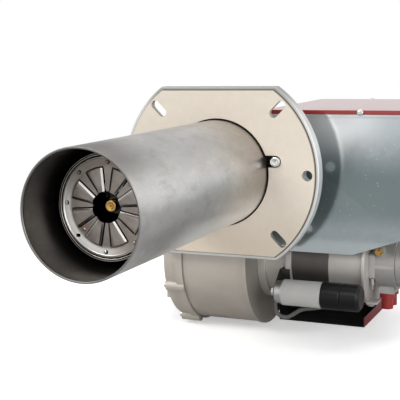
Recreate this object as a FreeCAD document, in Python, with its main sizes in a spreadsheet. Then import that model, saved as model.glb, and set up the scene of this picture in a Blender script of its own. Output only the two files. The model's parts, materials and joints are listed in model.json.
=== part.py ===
import FreeCAD
import Part
import Sketcher
import math
import os

# Forced-draught oil burner with a long blast tube.
# Millimetres. The origin is the centre of the gasket's boiler face on the blast tube's axis.
# The blast tube points along -Y, +X is the motor's side seen from the boiler, +Z is up.

VECTOR = FreeCAD.Vector
doc = FreeCAD.newDocument("oil_burner")

# Driving sizes: name, value, meaning
DRIVING_SIZES = [
    ("tube_radius", 70.0, "outer radius of the blast tube"),
    ("tube_wall", 1.5, "sheet thickness of the blast tube"),
    ("tube_reach", 355.0, "blast tube's length in front of the gasket"),
    ("tube_lip", 6.2, "how far the tube's rear lip stands out"),
    ("tube_root_step", 0.6, "how much thinner the tube is inside the flange"),
    ("tube_lip_thick", 2.5, "thickness of the tube's rear lip"),
    ("lip_screw_inset", 3.2, "lip screws' distance inside the rear lip's edge"),
    ("lip_screw_head", 2.9, "head radius of the lip screws"),
    ("lip_screw_shank", 1.5, "shank radius of the lip screws"),
    ("mouth_bead", 0.9, "how far the rolled edge of the tube's mouth stands in"),
    ("gasket_radius", 134.5, "outer radius of the gasket"),
    ("gasket_flat", 108.8, "half height of the gasket between its flats"),
    ("gasket_thick", 3.0, "gasket thickness"),
    ("gasket_play", 2.0, "radial play of the gasket round the tube"),
    ("flange_overhang", 4.6, "how far the cast flange stands out past the gasket"),
    ("flange_thick", 15.0, "thickness of the cast flange"),
    ("seat_play", 0.2, "radial play between fixed round pieces"),
    ("face_play", 0.15, "gap between the flange and the sliding body"),
    ("stud_ring_inner", 112.0, "smallest stud circle radius of the slots"),
    ("stud_ring_outer", 126.6, "largest stud circle radius of the slots"),
    ("slot_half_width", 5.75, "half width of the slots"),
    ("slot_web", 5.0, "thickness of the flange left round the slots"),
    ("slot_rim", 3.75, "width of the thin rim round the slots"),
    ("side_hole_place", 124.0, "distance of the side holes from the axis"),
    ("side_hole_radius", 7.0, "radius of the side holes"),
    ("pocket_inner", 95.0, "inner radius of the flange's rear pockets"),
    ("pocket_outer", 106.0, "outer radius of the flange's rear pockets"),
    ("pocket_depth", 8.0, "depth of the flange's rear pockets"),
    ("pocket_half_angle", 15.0, "half angle of the flange's rear pockets"),
    ("bar_offset", 12.0, "slide bars' sideways distance outside the tube"),
    ("bar_level", 17.0, "level of the slide bars above the axis"),
    ("bar_radius", 7.0, "slide bar radius"),
    ("bar_back", 330.0, "rear end of the slide bars"),
    ("bar_seat", 7.0, "depth of the bars' seats in the flange"),
    ("running_play", 0.05, "radial play of running fits"),
    ("bush_wall", 2.5, "wall of the slide bushes"),
    ("ear_wall", 4.0, "wall of the body's ears round the bushes"),
    ("ear_length", 34.0, "length of the body's rear ears"),
    ("rear_ear_start", 170.0, "front face of the rear ears"),
    ("notch_half_width", 7.8, "half width of the gasket's screw notches"),
    ("notch_offset", 7.0, "how far the gasket's notches reach past the bars' axes"),
    ("notch_depth", 7.0, "depth of the flange's recess beside the screw"),
    ("cap_head_radius", 6.35, "head radius of the M8 cap screws"),
    ("cap_head_height", 7.2, "head height of the M8 cap screws"),
    ("cap_shank_radius", 4.0, "shank radius of the M8 cap screws"),
    ("socket_head_radius", 4.4, "head radius of the M5 socket screws"),
    ("socket_head_height", 4.0, "head height of the M5 socket screws"),
    ("cap_socket", 3.2, "socket radius of the M8 cap screws across corners"),
    ("duct_step", 1.0, "how much smaller the air duct is than the tube"),
    ("duct_wall", 4.0, "wall of the body's air duct"),
    ("duct_back", 210.0, "rear face of the air duct"),
    ("fan_back", 128.0, "fan axis behind the gasket face"),
    ("fan_offset", 63.0, "fan axis below the tube's underside"),
    ("scroll_radius", 96.0, "largest inner radius of the fan scroll"),
    ("scroll_step", 6.0, "change of the scroll's radius per quarter"),
    ("scroll_wall", 4.0, "wall of the fan scroll"),
    ("scroll_left", 66.0, "left face of the scroll casting"),
    ("scroll_right", 28.5, "right face of the scroll casting"),
    ("ridge_proud", 1.5, "how far the ridge stands proud along the scroll's right edge"),
    ("ridge_width", 4.5, "width of that ridge"),
    ("outlet_depth", 66.0, "depth of the scroll's outlet along the duct"),
    ("outlet_left", 45.0, "left side of the scroll's outlet"),
    ("outlet_right", 20.0, "right side of the scroll's outlet"),
    ("cover_band", 11.0, "width of the fan cover's wide band"),
    ("cover_width", 29.0, "whole width of the fan cover"),
    ("cover_proud", 3.0, "how far the wide band stands proud of the scroll"),
    ("cover_skin", 3.0, "wall of the fan cover"),
    ("cover_lug_radius", 8.0, "radius of the fan cover's screw lugs"),
    ("eye_radius", 50.0, "radius of the fan cover's air inlet"),
    ("wheel_radius", 76.0, "outer radius of the fan wheel"),
    ("blade_depth", 13.0, "radial depth of the fan blades"),
    ("blade_width", 56.0, "width of the fan blades"),
    ("blade_thick", 0.9, "thickness of the fan blades"),
    ("blade_sweep", 8.0, "angle between a blade's two ends"),
    ("blade_curve", 10.5, "radius of the blades' curve"),
    ("blade_count", 36.0, "number of fan blades"),
    ("wheel_plate", 1.6, "thickness of the wheel's back plate and ring"),
    ("wheel_gap", 16.0, "wheel back plate's distance from the scroll's right face"),
    ("hub_radius", 15.0, "radius of the fan wheel's hub"),
    ("hub_length", 22.0, "length of the fan wheel's hub"),
    ("cone_throat", 55.0, "throat radius of the inlet cone"),
    ("shaft_radius", 6.35, "motor shaft radius"),
    ("ring_radius", 60.0, "radius of the motor's seating ring"),
    ("ring_width", 11.3, "width of the motor's seating ring"),
    ("neck_radius", 55.0, "radius of the motor's neck"),
    ("neck_right", 71.0, "right end of the motor's neck"),
    ("shield_radius", 63.5, "radius of the motor's left shield"),
    ("shield_width", 8.0, "width of the motor's left shield"),
    ("stator_radius", 59.0, "radius of the stator"),
    ("stator_width", 51.0, "width of the stator"),
    ("bell_radius", 58.0, "radius of the motor's end bell"),
    ("bell_width", 47.0, "width of the motor's end bell"),
    ("motor_wall", 5.0, "wall of the motor's cast pieces"),
    ("rotor_radius", 34.0, "radius of the motor's rotor core"),
    ("air_gap", 0.6, "gap between rotor core and stator"),
    ("bearing_radius", 16.0, "outer radius of the motor bearings"),
    ("bearing_width", 9.0, "width of the motor bearings"),
    ("pump_plate_radius", 63.0, "radius of the pump's mounting plate"),
    ("pump_plate_thick", 4.0, "thickness of the pump's mounting plate"),
    ("pump_hub_radius", 27.0, "radius of the pump's hub"),
    ("pump_body_radius", 36.0, "radius of the pump's body"),
    ("pump_body_width", 34.0, "width of the pump's body"),
    ("pump_ear_half_height", 17.5, "half height of the pump's ears"),
    ("pump_ear_width", 8.0, "width of the pump's ears"),
    ("pump_cover_radius", 32.0, "radius of the pump's cover"),
    ("pump_cover_width", 13.0, "width of the pump's cover"),
    ("coupling_radius", 10.0, "radius of the pump coupling"),
    ("can_radius", 17.5, "radius of the capacitor's can"),
    ("can_start", 66.0, "left end of the capacitor's can"),
    ("can_length", 65.0, "length of the capacitor's can"),
    ("can_neck", 9.0, "length of the can's narrower end"),
    ("cap_radius", 18.4, "radius of the capacitor's black cap"),
    ("cap_length", 53.0, "length of the capacitor's black cap"),
    ("can_back", 45.0, "capacitor axis behind the gasket face"),
    ("can_offset", 33.0, "capacitor axis below the fan axis"),
    ("stud_radius", 3.0, "radius of the capacitor's stud"),
    ("stud_nut_radius", 5.9, "radius of the stud's nut across corners"),
    ("bracket_thick", 2.0, "thickness of the capacitor's bracket"),
    ("box_front", 60.0, "front face of the galvanised box"),
    ("box_depth", 256.0, "depth of the galvanised box"),
    ("box_top", 74.5, "top edge of the galvanised box"),
    ("box_floor", 68.0, "box floor below the tube's axis"),
    ("apron_bottom", 112.0, "bottom edge of the front plate below the axis"),
    ("apron_corner", 167.0, "place where the front plate's bottom edge starts to rise"),
    ("apron_rise", 24.5, "how far the front plate's bottom edge rises"),
    ("plate_left", 45.0, "left edge of the front plate and the cover"),
    ("box_offset", 18.0, "box's left wall outside the slide bars' axes"),
    ("box_right", 235.0, "right wall of the galvanised box"),
    ("sheet_thick", 1.5, "thickness of the galvanised sheet"),
    ("guard_left", 32.0, "left side of the motor guard"),
    ("guard_right", 160.0, "right side of the motor guard"),
    ("guard_front", 150.0, "front edge of the motor guard"),
    ("guard_back", 262.0, "rear face of the motor guard"),
    ("guard_drop", 236.0, "underside of the motor guard below the axis"),
    ("guard_lip", 14.0, "height of the motor guard's folded sides"),
    ("transformer_width", 58.0, "width and height of the ignition transformer"),
    ("transformer_depth", 84.0, "depth of the ignition transformer"),
    ("strip_gap", 12.0, "gap between transformer and terminal strip"),
    ("plate_clearance", 2.0, "gap between the front plate and the duct"),
    ("top_bead", 4.2, "height of the stiffening bead along the plate's top"),
    ("lip_width", 11.0, "width of the box's folded top lip"),
    ("lid_overhang", 3.0, "how far the cover stands out past the box"),
    ("lid_height", 5.6, "height of the cover's skirt"),
    ("lid_thick", 1.2, "sheet thickness of the cover"),
    ("lid_corner", 6.0, "corner radius of the cover"),
    ("rest_gap", 0.2, "gap between resting pieces of different bodies"),
    ("lid_screw_place", 178.0, "sideways place of the cover's front screw"),
    ("disc_depth", 58.0, "diffuser disc behind the tube's mouth"),
    ("disc_gap", 3.0, "gap between the disc and the ring round it"),
    ("disc_turn", -3.3, "how far the disc's pattern is turned"),
    ("disc_thick", 1.2, "sheet thickness of the diffuser disc"),
    ("disc_hole", 17.0, "radius of the disc's centre hole"),
    ("disc_border", 11.5, "width of the plain border outside the petals"),
    ("petal_half_angle", 15.0, "half angle of the raised petals"),
    ("petal_raise", 2.4, "how far the petals are raised"),
    ("petal_count", 8.0, "number of raised petals"),
    ("dimple_inset", 5.5, "dimples' distance inside the disc's edge"),
    ("dimple_radius", 1.9, "radius of the dimples"),
    ("rivet_inset", 16.0, "rivets' distance inside the disc's edge"),
    ("rivet_radius", 2.1, "radius of the rivets' heads"),
    ("shroud_gap", 13.0, "distance from the tube's outside to the ring's inside"),
    ("shroud_wall", 1.5, "sheet thickness of the ring round the disc"),
    ("shroud_length", 34.0, "length of the ring round the disc"),
    ("nozzle_setback", 7.0, "nozzle face in front of or behind the disc's face"),
    ("nozzle_radius", 6.8, "radius of the nozzle's face"),
    ("nozzle_length", 18.0, "length of the nozzle"),
    ("holder_radius", 9.5, "radius of the nozzle holder"),
    ("holder_length", 62.0, "length of the nozzle holder"),
    ("line_radius", 7.0, "radius of the nozzle line"),
    ("line_back", 262.0, "rear end of the nozzle line"),
    ("arm_thick", 2.0, "thickness of the head's arms"),
    ("arm_length", 24.0, "length of the arms along the line"),
    ("foot_play", 0.6, "radial play of the head's feet in the tube"),
    ("insulator_radius", 5.2, "radius of the electrode insulators"),
    ("insulator_length", 88.0, "length of the electrode insulators"),
    ("insulator_setback", 8.0, "insulators' front ends behind the nozzle's face"),
    ("rod_radius", 1.25, "radius of the electrode rods"),
    ("rear_plate_thick", 4.0, "thickness of the duct's rear plate"),
    ("window_radius", 11.0, "radius of the inspection window"),
    ("window_inset", 35.0, "inspection window's sideways place inside the duct's edge"),
    ("window_drop", 47.0, "inspection window below the duct's top"),
    ("gland_radius", 13.0, "radius of the nozzle line's gland"),
    ("gland_length", 32.0, "length of the nozzle line's gland"),
    ("intake_wall", 2.0, "wall of the intake box"),
    ("intake_back", 226.0, "rear face of the intake box"),
    ("intake_reach", 150.0, "left face of the intake box"),
    ("intake_nose", 112.0, "left edge of the intake box's front"),
    ("intake_front", 68.0, "front face of the intake box"),
    ("intake_bend", 168.0, "where the intake box reaches its full width"),
    ("intake_half_height", 62.0, "half height of the intake box"),
    ("flap_play", 0.8, "play of the damper flap in the intake box"),
    ("flap_thick", 1.5, "thickness of the damper flap"),
    ("flap_place", 196.0, "damper shaft behind the gasket face"),
    ("pivot_radius", 4.0, "radius of the damper shaft"),
    ("lever_length", 34.0, "length of the damper lever"),
    ("pipe_radius", 3.0, "radius of the oil delivery pipe"),
    ("lead_radius", 3.0, "radius of the motor lead"),
]


class Size:
    """A size with its value and the expression that gives it in the document."""

    def __init__(self, value, text):
        self.value = float(value)
        self.text = text

    def __add__(self, other):
        other = sized(other)
        return Size(self.value + other.value, f"({self.text} + {other.text})")

    def __radd__(self, other):
        return sized(other) + self

    def __sub__(self, other):
        other = sized(other)
        return Size(self.value - other.value, f"({self.text} - {other.text})")

    def __rsub__(self, other):
        return sized(other) - self

    def __mul__(self, other):
        other = sized(other)
        return Size(self.value * other.value, f"({self.text} * {other.text})")

    def __rmul__(self, other):
        return sized(other) * self

    def __truediv__(self, other):
        other = sized(other)
        return Size(self.value / other.value, f"({self.text} / {other.text})")

    def __rtruediv__(self, other):
        return sized(other) / self

    def __neg__(self):
        return Size(-self.value, f"(0 - {self.text})")


def sized(number):
    """A plain number as a Size."""
    if isinstance(number, Size):
        return number
    return Size(number, f"({float(number)!r})")


def cosine(angle):
    angle = sized(angle)
    return Size(math.cos(math.radians(angle.value)), f"cos({angle.text})")


def sine(angle):
    angle = sized(angle)
    return Size(math.sin(math.radians(angle.value)), f"sin({angle.text})")


def root(square):
    square = sized(square)
    return Size(math.sqrt(square.value), f"sqrt({square.text})")


def ring_point(radius, angle, centre=(0, 0)):
    """The point at an angle in degrees on a circle."""
    return (radius * cosine(angle) + centre[0], radius * sine(angle) + centre[1])


# The sheet of driving sizes
sheet = doc.addObject("Spreadsheet::Sheet", "Sizes")


class Driving:
    """The driving sizes by name."""


for row, (size_name, size_value, meaning) in enumerate(DRIVING_SIZES, start=1):
    sheet.set(f"A{row}", meaning)
    sheet.set(f"B{row}", repr(size_value))
    sheet.setAlias(f"B{row}", size_name)
    setattr(Driving, size_name, Size(size_value, f"Sizes.{size_name}"))
doc.recompute()
S = Driving

# Places that several pieces share
tube_lip_radius = S.tube_radius + S.tube_lip
bar_place = S.tube_radius + S.bar_offset
notch_reach = bar_place + S.notch_offset
duct_radius = S.tube_radius - S.duct_step
fan_drop = S.tube_radius + S.fan_offset
can_drop = fan_drop + S.can_offset
window_place = duct_radius - S.window_inset
window_level = duct_radius - S.window_drop
box_left = bar_place + S.box_offset
shroud_inner = S.tube_radius - S.shroud_gap
disc_radius = shroud_inner - S.disc_gap
petal_outer = disc_radius - S.disc_border
dimple_ring = disc_radius - S.dimple_inset
rivet_ring = disc_radius - S.rivet_inset
tube_inner = S.tube_radius - S.tube_wall
flange_front = S.gasket_thick
flange_back = flange_front + S.flange_thick
flange_radius = S.gasket_radius + S.flange_overhang
flange_flat = S.gasket_flat + S.flange_overhang
body_front = flange_back + S.face_play
duct_inner = duct_radius - S.duct_wall
bush_radius = S.bar_radius + S.running_play + S.bush_wall
ear_hole = bush_radius + S.running_play
ear_radius = ear_hole + S.ear_wall
ring_right = S.scroll_right + S.ring_width
shield_right = S.neck_right + S.shield_width
stator_right = shield_right + S.stator_width
bell_right = stator_right + S.bell_width
pump_plate_right = bell_right + S.pump_plate_thick
pump_body_right = pump_plate_right + S.pump_body_width
cover_left = S.scroll_left + S.cover_width
outlet_back = S.fan_back - S.scroll_step / 2 - S.scroll_radius + S.outlet_depth
disc_front = S.disc_depth - S.tube_reach
disc_back = disc_front + S.disc_thick
nozzle_front = disc_front + S.nozzle_setback
holder_front = nozzle_front + S.nozzle_length * 0.6
holder_back = holder_front + S.holder_length
spider_front = holder_front + 14
spider_back = spider_front + S.arm_length
shroud_outer = shroud_inner + S.shroud_wall
plate_back = S.duct_back + S.rear_plate_thick
box_back = S.box_front + S.box_depth
lid_front = S.box_front - S.lid_overhang
lid_back = box_back + S.lid_overhang
lid_left = S.plate_left
lid_right = S.box_right + S.lid_overhang
lid_bottom = S.box_top + S.rest_gap
lid_top = lid_bottom + S.lid_height
wheel_right = S.scroll_right - S.wheel_gap
wheel_left = wheel_right - S.blade_width
blade_inner = S.wheel_radius - S.blade_depth
damper_x = -(cover_left + S.intake_reach) / 2

# Planes: role, the sketch normal's sign along the world axis, and that axis
PLANES = {
    "XY": ("XY_Plane", 1),
    "XZ": ("XZ_Plane", -1),
    "YZ": ("YZ_Plane", 1),
}
NODES = []
CUTS = []


def bind(item, name, size):
    """Set a property, bound to the sheet where the size comes from it."""
    size = sized(size)
    setattr(item, name, size.value)
    item.setExpression(name, size.text)


def new_body(label, at=(0, 0, 0)):
    """A named sub-part that is modelled as a body, at a place of its own."""
    body = doc.addObject("PartDesign::Body", label)
    body.Label = label
    base = [sized(value) for value in at]
    body.Placement = FreeCAD.Placement(VECTOR(*[value.value for value in base]), FreeCAD.Rotation())
    for axis, value in zip("xyz", base):
        body.setExpression(f"Placement.Base.{axis}", value.text)
    NODES.append(body)
    return body


def origin_feature(body, role):
    return [item for item in body.Origin.OriginFeatures if item.Role == role][0]


class Outline:
    """A sketch on one of the body's own planes, with every point bound to sizes."""

    def __init__(self, body, plane, level=0):
        role, self.sign = PLANES[plane]
        self.sketch = body.newObject("Sketcher::SketchObject", f"{body.Name}_sketch")
        self.sketch.AttachmentSupport = (origin_feature(body, role), [""])
        self.sketch.MapMode = "FlatFace"
        lift = sized(level) * self.sign
        self.sketch.AttachmentOffset = FreeCAD.Placement(VECTOR(0, 0, lift.value), FreeCAD.Rotation())
        self.sketch.setExpression("AttachmentOffset.Base.z", lift.text)

    def fix(self, kind, geometry, position, size):
        """Hold one coordinate of a point, or a circle's radius."""
        size = sized(size)
        if kind == "Radius":
            constraint = Sketcher.Constraint(kind, geometry, size.value)
        else:
            constraint = Sketcher.Constraint(kind, -1, 1, geometry, position, size.value)
        index = self.sketch.addConstraint(constraint)
        name = f"size{index}"
        self.sketch.renameConstraint(index, name)
        self.sketch.setExpression(f"Constraints.{name}", size.text)

    def circle(self, centre, radius):
        centre = [sized(value) for value in centre]
        radius = sized(radius)
        middle = VECTOR(centre[0].value, centre[1].value, 0)
        shape = Part.Circle(middle, VECTOR(0, 0, 1), radius.value)
        index = self.sketch.addGeometry(shape, False)
        self.fix("DistanceX", index, 3, centre[0])
        self.fix("DistanceY", index, 3, centre[1])
        self.fix("Radius", index, 0, radius)

    def loop(self, points, arcs=None):
        """A closed outline. arcs gives an edge's number its centre and its turn."""
        arcs = arcs or {}
        points = [(sized(x), sized(y)) for x, y in points]
        vectors = [VECTOR(x.value, y.value, 0) for x, y in points]
        count = len(points)
        ends = []
        for index in range(count):
            start = vectors[index]
            end = vectors[(index + 1) % count]
            if index in arcs:
                ends.append(self.arc(start, end, arcs[index]))
            else:
                edge = self.sketch.addGeometry(Part.LineSegment(start, end), False)
                ends.append((edge, 1, 2))
        for index, (x, y) in enumerate(points):
            edge, first, _ = ends[index]
            before, _, last = ends[index - 1]
            self.sketch.addConstraint(Sketcher.Constraint("Coincident", before, last, edge, first))
            self.fix("DistanceX", edge, first, x)
            self.fix("DistanceY", edge, first, y)

    def arc(self, start, end, arc):
        """An arc between two points. Its centre is held along the chord's bisector."""
        centre, turn = arc
        centre = [sized(value) for value in centre]
        middle = VECTOR(centre[0].value, centre[1].value, 0)
        radius = (start - middle).Length
        first, last = (start, end) if turn == "left" else (end, start)
        angles = [math.atan2(point.y - middle.y, point.x - middle.x) for point in (first, last)]
        circle = Part.Circle(middle, VECTOR(0, 0, 1), radius)
        edge = self.sketch.addGeometry(Part.ArcOfCircle(circle, angles[0], angles[1]), False)
        chord = end - start
        if abs(chord.y) > abs(chord.x):
            self.fix("DistanceX", edge, 3, centre[0])
        else:
            self.fix("DistanceY", edge, 3, centre[1])
        return (edge, 1, 2) if turn == "left" else (edge, 2, 1)

    def rectangle(self, low, high):
        self.loop([low, (high[0], low[1]), high, (low[0], high[1])])

    def sector(self, inner, outer, start, end, centre=(0, 0)):
        """A piece of a ring between two angles."""
        points = [ring_point(inner, start, centre), ring_point(outer, start, centre),
                  ring_point(outer, end, centre), ring_point(inner, end, centre)]
        self.loop(points, {1: (centre, "left"), 3: (centre, "right")})

    def slot(self, first, second, half_width, angle):
        """A slot with round ends whose length lies at an angle."""
        side = (sine(angle) * half_width, cosine(angle) * half_width)
        points = [(first[0] + side[0], first[1] - side[1]), (second[0] + side[0], second[1] - side[1]),
                  (second[0] - side[0], second[1] + side[1]), (first[0] - side[0], first[1] + side[1])]
        self.loop(points, {1: (second, "left"), 3: (first, "left")})

    def hexagon(self, centre, radius):
        self.loop([ring_point(radius, 60 * step, centre) for step in range(6)])


def extrude(body, plane, start, end, draw, cut=False):
    """Add or cut the shape that draw gives, from one level to a higher one along the plane's axis."""
    outline = Outline(body, plane, start)
    draw(outline)
    kind = "PartDesign::Pocket" if cut else "PartDesign::Pad"
    feature = body.newObject(kind, f"{body.Name}_{'pocket' if cut else 'pad'}")
    feature.Profile = outline.sketch
    bind(feature, "Length", sized(end) - start)
    feature.Reversed = (outline.sign < 0) != cut
    body.Tip = feature
    if cut:
        CUTS.append(feature)
    return feature


def revolve(body, plane, axis, draw, cut=False):
    """Turn the shape that draw gives about the sketch's H or V axis."""
    outline = Outline(body, plane)
    draw(outline)
    kind = "PartDesign::Groove" if cut else "PartDesign::Revolution"
    feature = body.newObject(kind, f"{body.Name}_{'groove' if cut else 'turned'}")
    feature.Profile = outline.sketch
    feature.ReferenceAxis = (outline.sketch, [f"{axis}_Axis"])
    feature.Angle = 360
    body.Tip = feature
    if cut:
        CUTS.append(feature)
    return feature


def polar(body, features, axis, count):
    """Repeat features round one of the body's axes."""
    doc.recompute()
    pattern = body.newObject("PartDesign::PolarPattern", f"{body.Name}_pattern")
    pattern.Originals = features
    pattern.Axis = (origin_feature(body, f"{axis}_Axis"), [""])
    pattern.Angle = 360
    count = sized(count)
    pattern.Occurrences = round(count.value)
    pattern.setExpression("Occurrences", count.text)
    body.Tip = pattern
    return pattern


def round_edges(body, radius, wanted, kind="Fillet"):
    """Fillet or chamfer the edges for which wanted is true."""
    doc.recompute()
    base = body.Tip
    names = [f"Edge{number}" for number, edge in enumerate(base.Shape.Edges, start=1) if wanted(edge)]
    feature = body.newObject(f"PartDesign::{kind}", f"{body.Name}_{kind.lower()}")
    feature.Base = (base, names)
    bind(feature, "Radius" if kind == "Fillet" else "Size", radius)
    body.Tip = feature
    return feature


def cylinder_walls(body, axis, rings):
    """Turn stepped rings about an axis. Each ring is (inner radius, outer radius, start, end)."""
    def draw(outline):
        for inner, outer, start, end in rings:
            if axis == "X":
                outline.rectangle((start, inner), (end, outer))
            else:
                outline.rectangle((inner, start), (outer, end))
    return revolve(body, "XY", "H" if axis == "X" else "V", draw)


def circles(places, radius):
    """A drawing of equal circles."""
    def draw(outline):
        for place in places:
            outline.circle(place, radius)
    return draw


def hexagons(places, radius):
    """A drawing of equal hexagons."""
    def draw(outline):
        for place in places:
            outline.hexagon(place, radius)
    return draw


def boxes(*corners):
    """A drawing of rectangles, each from its low to its high corner."""
    def draw(outline):
        for low, high in corners:
            outline.rectangle(low, high)
    return draw


def tube_along(label, points, radius, bend):
    """A round tube along straight runs with tangent arcs at the corners."""
    corners = [VECTOR(*[sized(value).value for value in point]) for point in points]
    radius = sized(radius).value
    edges = []
    start = corners[0]
    for before, corner, after in zip(corners, corners[1:], corners[2:]):
        arriving = (corner - before).normalize()
        leaving = (after - corner).normalize()
        turn = arriving.getAngle(leaving)
        setback = bend * math.tan(turn / 2)
        arc_start = corner - arriving * setback
        arc_end = corner + leaving * setback
        inward = (leaving - arriving).normalize()
        middle = corner + inward * (bend / math.cos(turn / 2) - bend)
        edges.append(Part.LineSegment(start, arc_start).toShape())
        edges.append(Part.Arc(arc_start, middle, arc_end).toShape())
        start = arc_end
    edges.append(Part.LineSegment(start, corners[-1]).toShape())
    path = Part.Wire(edges)
    direction = corners[1] - corners[0]
    section = Part.Wire([Part.Circle(corners[0], direction, radius).toShape()])
    tube = doc.addObject("Part::Feature", label)
    tube.Label = label
    tube.Shape = path.makePipeShell([section], True, False)
    NODES.append(tube)
    return tube


# Flange, gasket and blast tube

def flange_outline(radius, flat):
    """A disc with a flat above and below."""
    def draw(outline):
        across = root(radius * radius - flat * flat)
        points = [(across, -flat), (across, flat), (-across, flat), (-across, -flat)]
        outline.loop(points, {0: ((0, 0), "left"), 2: ((0, 0), "left")})
    return draw


def stud_slots(outline, rim=0):
    """The four radial slots of the boiler studs, or the wider recess behind them."""
    for angle in (45, 135, 225, 315):
        first = ring_point(S.stud_ring_inner, angle)
        second = ring_point(S.stud_ring_outer, angle)
        outline.slot(first, second, S.slot_half_width + rim, angle)


def slot_recess(outline):
    stud_slots(outline, S.slot_rim)


SIDES = (-1, 1)
BAR_PLACES = [(bar_place * side, S.bar_level) for side in SIDES]
SIDE_HOLES = [(S.side_hole_place * side, 0) for side in SIDES]
LIP_SCREWS = [ring_point(tube_lip_radius - S.lip_screw_inset, angle) for angle in (90, 210, 330)]


def make_flange():
    body = new_body("mounting_flange")
    extrude(body, "XZ", flange_front, flange_back, flange_outline(flange_radius, flange_flat))
    round_edges(body, 1.4, lambda edge: edge.BoundBox.YMax < flange_front.value + 0.01)
    bore = circles([(0, 0)], S.tube_radius + S.seat_play)
    extrude(body, "XZ", flange_front, flange_back, bore, cut=True)
    lip_seat = circles([(0, 0)], tube_lip_radius + S.seat_play)
    extrude(body, "XZ", flange_back - S.tube_lip_thick, flange_back, lip_seat, cut=True)
    extrude(body, "XZ", flange_front, flange_back, stud_slots, cut=True)
    extrude(body, "XZ", flange_front + S.slot_web, flange_back, slot_recess, cut=True)
    inner = S.tube_radius * 0.9
    outer = bar_place - S.cap_head_radius + 1
    low = S.bar_level - S.notch_half_width + 1
    high = S.bar_level + S.notch_half_width - 1
    beside = boxes(((inner, low), (outer, high)), ((-outer, low), (-inner, high)))
    extrude(body, "XZ", flange_front, flange_front + S.notch_depth, beside, cut=True)
    holes = circles(SIDE_HOLES, S.side_hole_radius)
    extrude(body, "XZ", flange_front, flange_back, holes, cut=True)
    bar_seats = circles(BAR_PLACES, S.bar_radius + S.running_play)
    extrude(body, "XZ", flange_back - S.bar_seat, flange_back, bar_seats, cut=True)
    screw_holes = circles(BAR_PLACES, S.cap_shank_radius + S.seat_play)
    extrude(body, "XZ", flange_front, flange_back, screw_holes, cut=True)
    lip_screws = circles(LIP_SCREWS, S.lip_screw_shank + S.running_play)
    extrude(body, "XZ", flange_back - S.tube_lip_thick - 8, flange_back, lip_screws, cut=True)

    def rear_pockets(outline):
        for turn in range(8):
            middle = 45 * turn + 22.5
            if turn in (0, 3):
                continue
            outline.sector(S.pocket_inner, S.pocket_outer,
                           middle - S.pocket_half_angle, middle + S.pocket_half_angle)
    extrude(body, "XZ", flange_back - S.pocket_depth, flange_back, rear_pockets, cut=True)
    return body


def make_gasket():
    body = new_body("flange_gasket")
    extrude(body, "XZ", 0, S.gasket_thick, flange_outline(S.gasket_radius, S.gasket_flat))
    hole = circles([(0, 0)], S.tube_radius + S.gasket_play)
    extrude(body, "XZ", 0, S.gasket_thick, hole, cut=True)
    extrude(body, "XZ", 0, S.gasket_thick, stud_slots, cut=True)
    extrude(body, "XZ", 0, S.gasket_thick, circles(SIDE_HOLES, S.side_hole_radius), cut=True)

    def notches(outline):
        low = S.bar_level - S.notch_half_width
        high = S.bar_level + S.notch_half_width
        middle = notch_reach - S.notch_half_width
        inside = S.tube_radius * 0.9
        for side, turn in ((1, "left"), (-1, "right")):
            points = [(inside * side, low), (middle * side, low),
                      (middle * side, high), (inside * side, high)]
            outline.loop(points, {1: ((middle * side, S.bar_level), turn)})
    extrude(body, "XZ", 0, S.gasket_thick, notches, cut=True)
    return body


def make_blast_tube():
    body = new_body("blast_tube")
    lip_front = flange_back - S.tube_lip_thick

    def profile(outline):
        front = -S.tube_reach
        bead = tube_inner - S.mouth_bead
        seated = S.tube_radius - S.tube_root_step
        points = [(bead, front), (S.tube_radius, front), (S.tube_radius, 0), (seated, 0),
                  (seated, lip_front), (tube_lip_radius, lip_front), (tube_lip_radius, flange_back),
                  (tube_inner, flange_back), (tube_inner, front + 2.4), (bead, front + 2.4)]
        outline.loop(points)
    revolve(body, "XY", "V", profile)
    heads = circles(LIP_SCREWS, S.lip_screw_head + S.seat_play / 2)
    extrude(body, "XZ", lip_front, flange_back, heads, cut=True)
    return body


def make_tube_screws():
    body = new_body("tube_screws")
    lip_front = flange_back - S.tube_lip_thick
    extrude(body, "XZ", lip_front, flange_back, circles(LIP_SCREWS, S.lip_screw_head))
    extrude(body, "XZ", lip_front - 7.5, lip_front, circles(LIP_SCREWS, S.lip_screw_shank))
    extrude(body, "XZ", flange_back - 1.2, flange_back, hexagons(LIP_SCREWS, 1.4), cut=True)
    return body


def make_slide_bars():
    body = new_body("slide_bars")
    extrude(body, "XZ", flange_back - S.bar_seat, S.bar_back, circles(BAR_PLACES, S.bar_radius))
    thread = circles(BAR_PLACES, S.cap_shank_radius + S.running_play)
    extrude(body, "XZ", flange_back - S.bar_seat, flange_back + 12, thread, cut=True)
    round_edges(body, 1.2, lambda edge: edge.BoundBox.YMin > S.bar_back.value - 0.01, "Chamfer")
    return body


def make_bar_screws():
    body = new_body("slide_bar_screws")
    head_front = flange_front - S.cap_head_height
    extrude(body, "XZ", head_front, flange_front, circles(BAR_PLACES, S.cap_head_radius))
    extrude(body, "XZ", flange_front, flange_back + 10, circles(BAR_PLACES, S.cap_shank_radius))
    extrude(body, "XZ", head_front, head_front + 4, hexagons(BAR_PLACES, S.cap_socket), cut=True)
    round_edges(body, 0.8, lambda edge: (edge.BoundBox.YMax < head_front.value + 0.01
                                         and edge.Curve.TypeId == "Part::GeomCircle"))
    return body


# Combustion head

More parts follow.
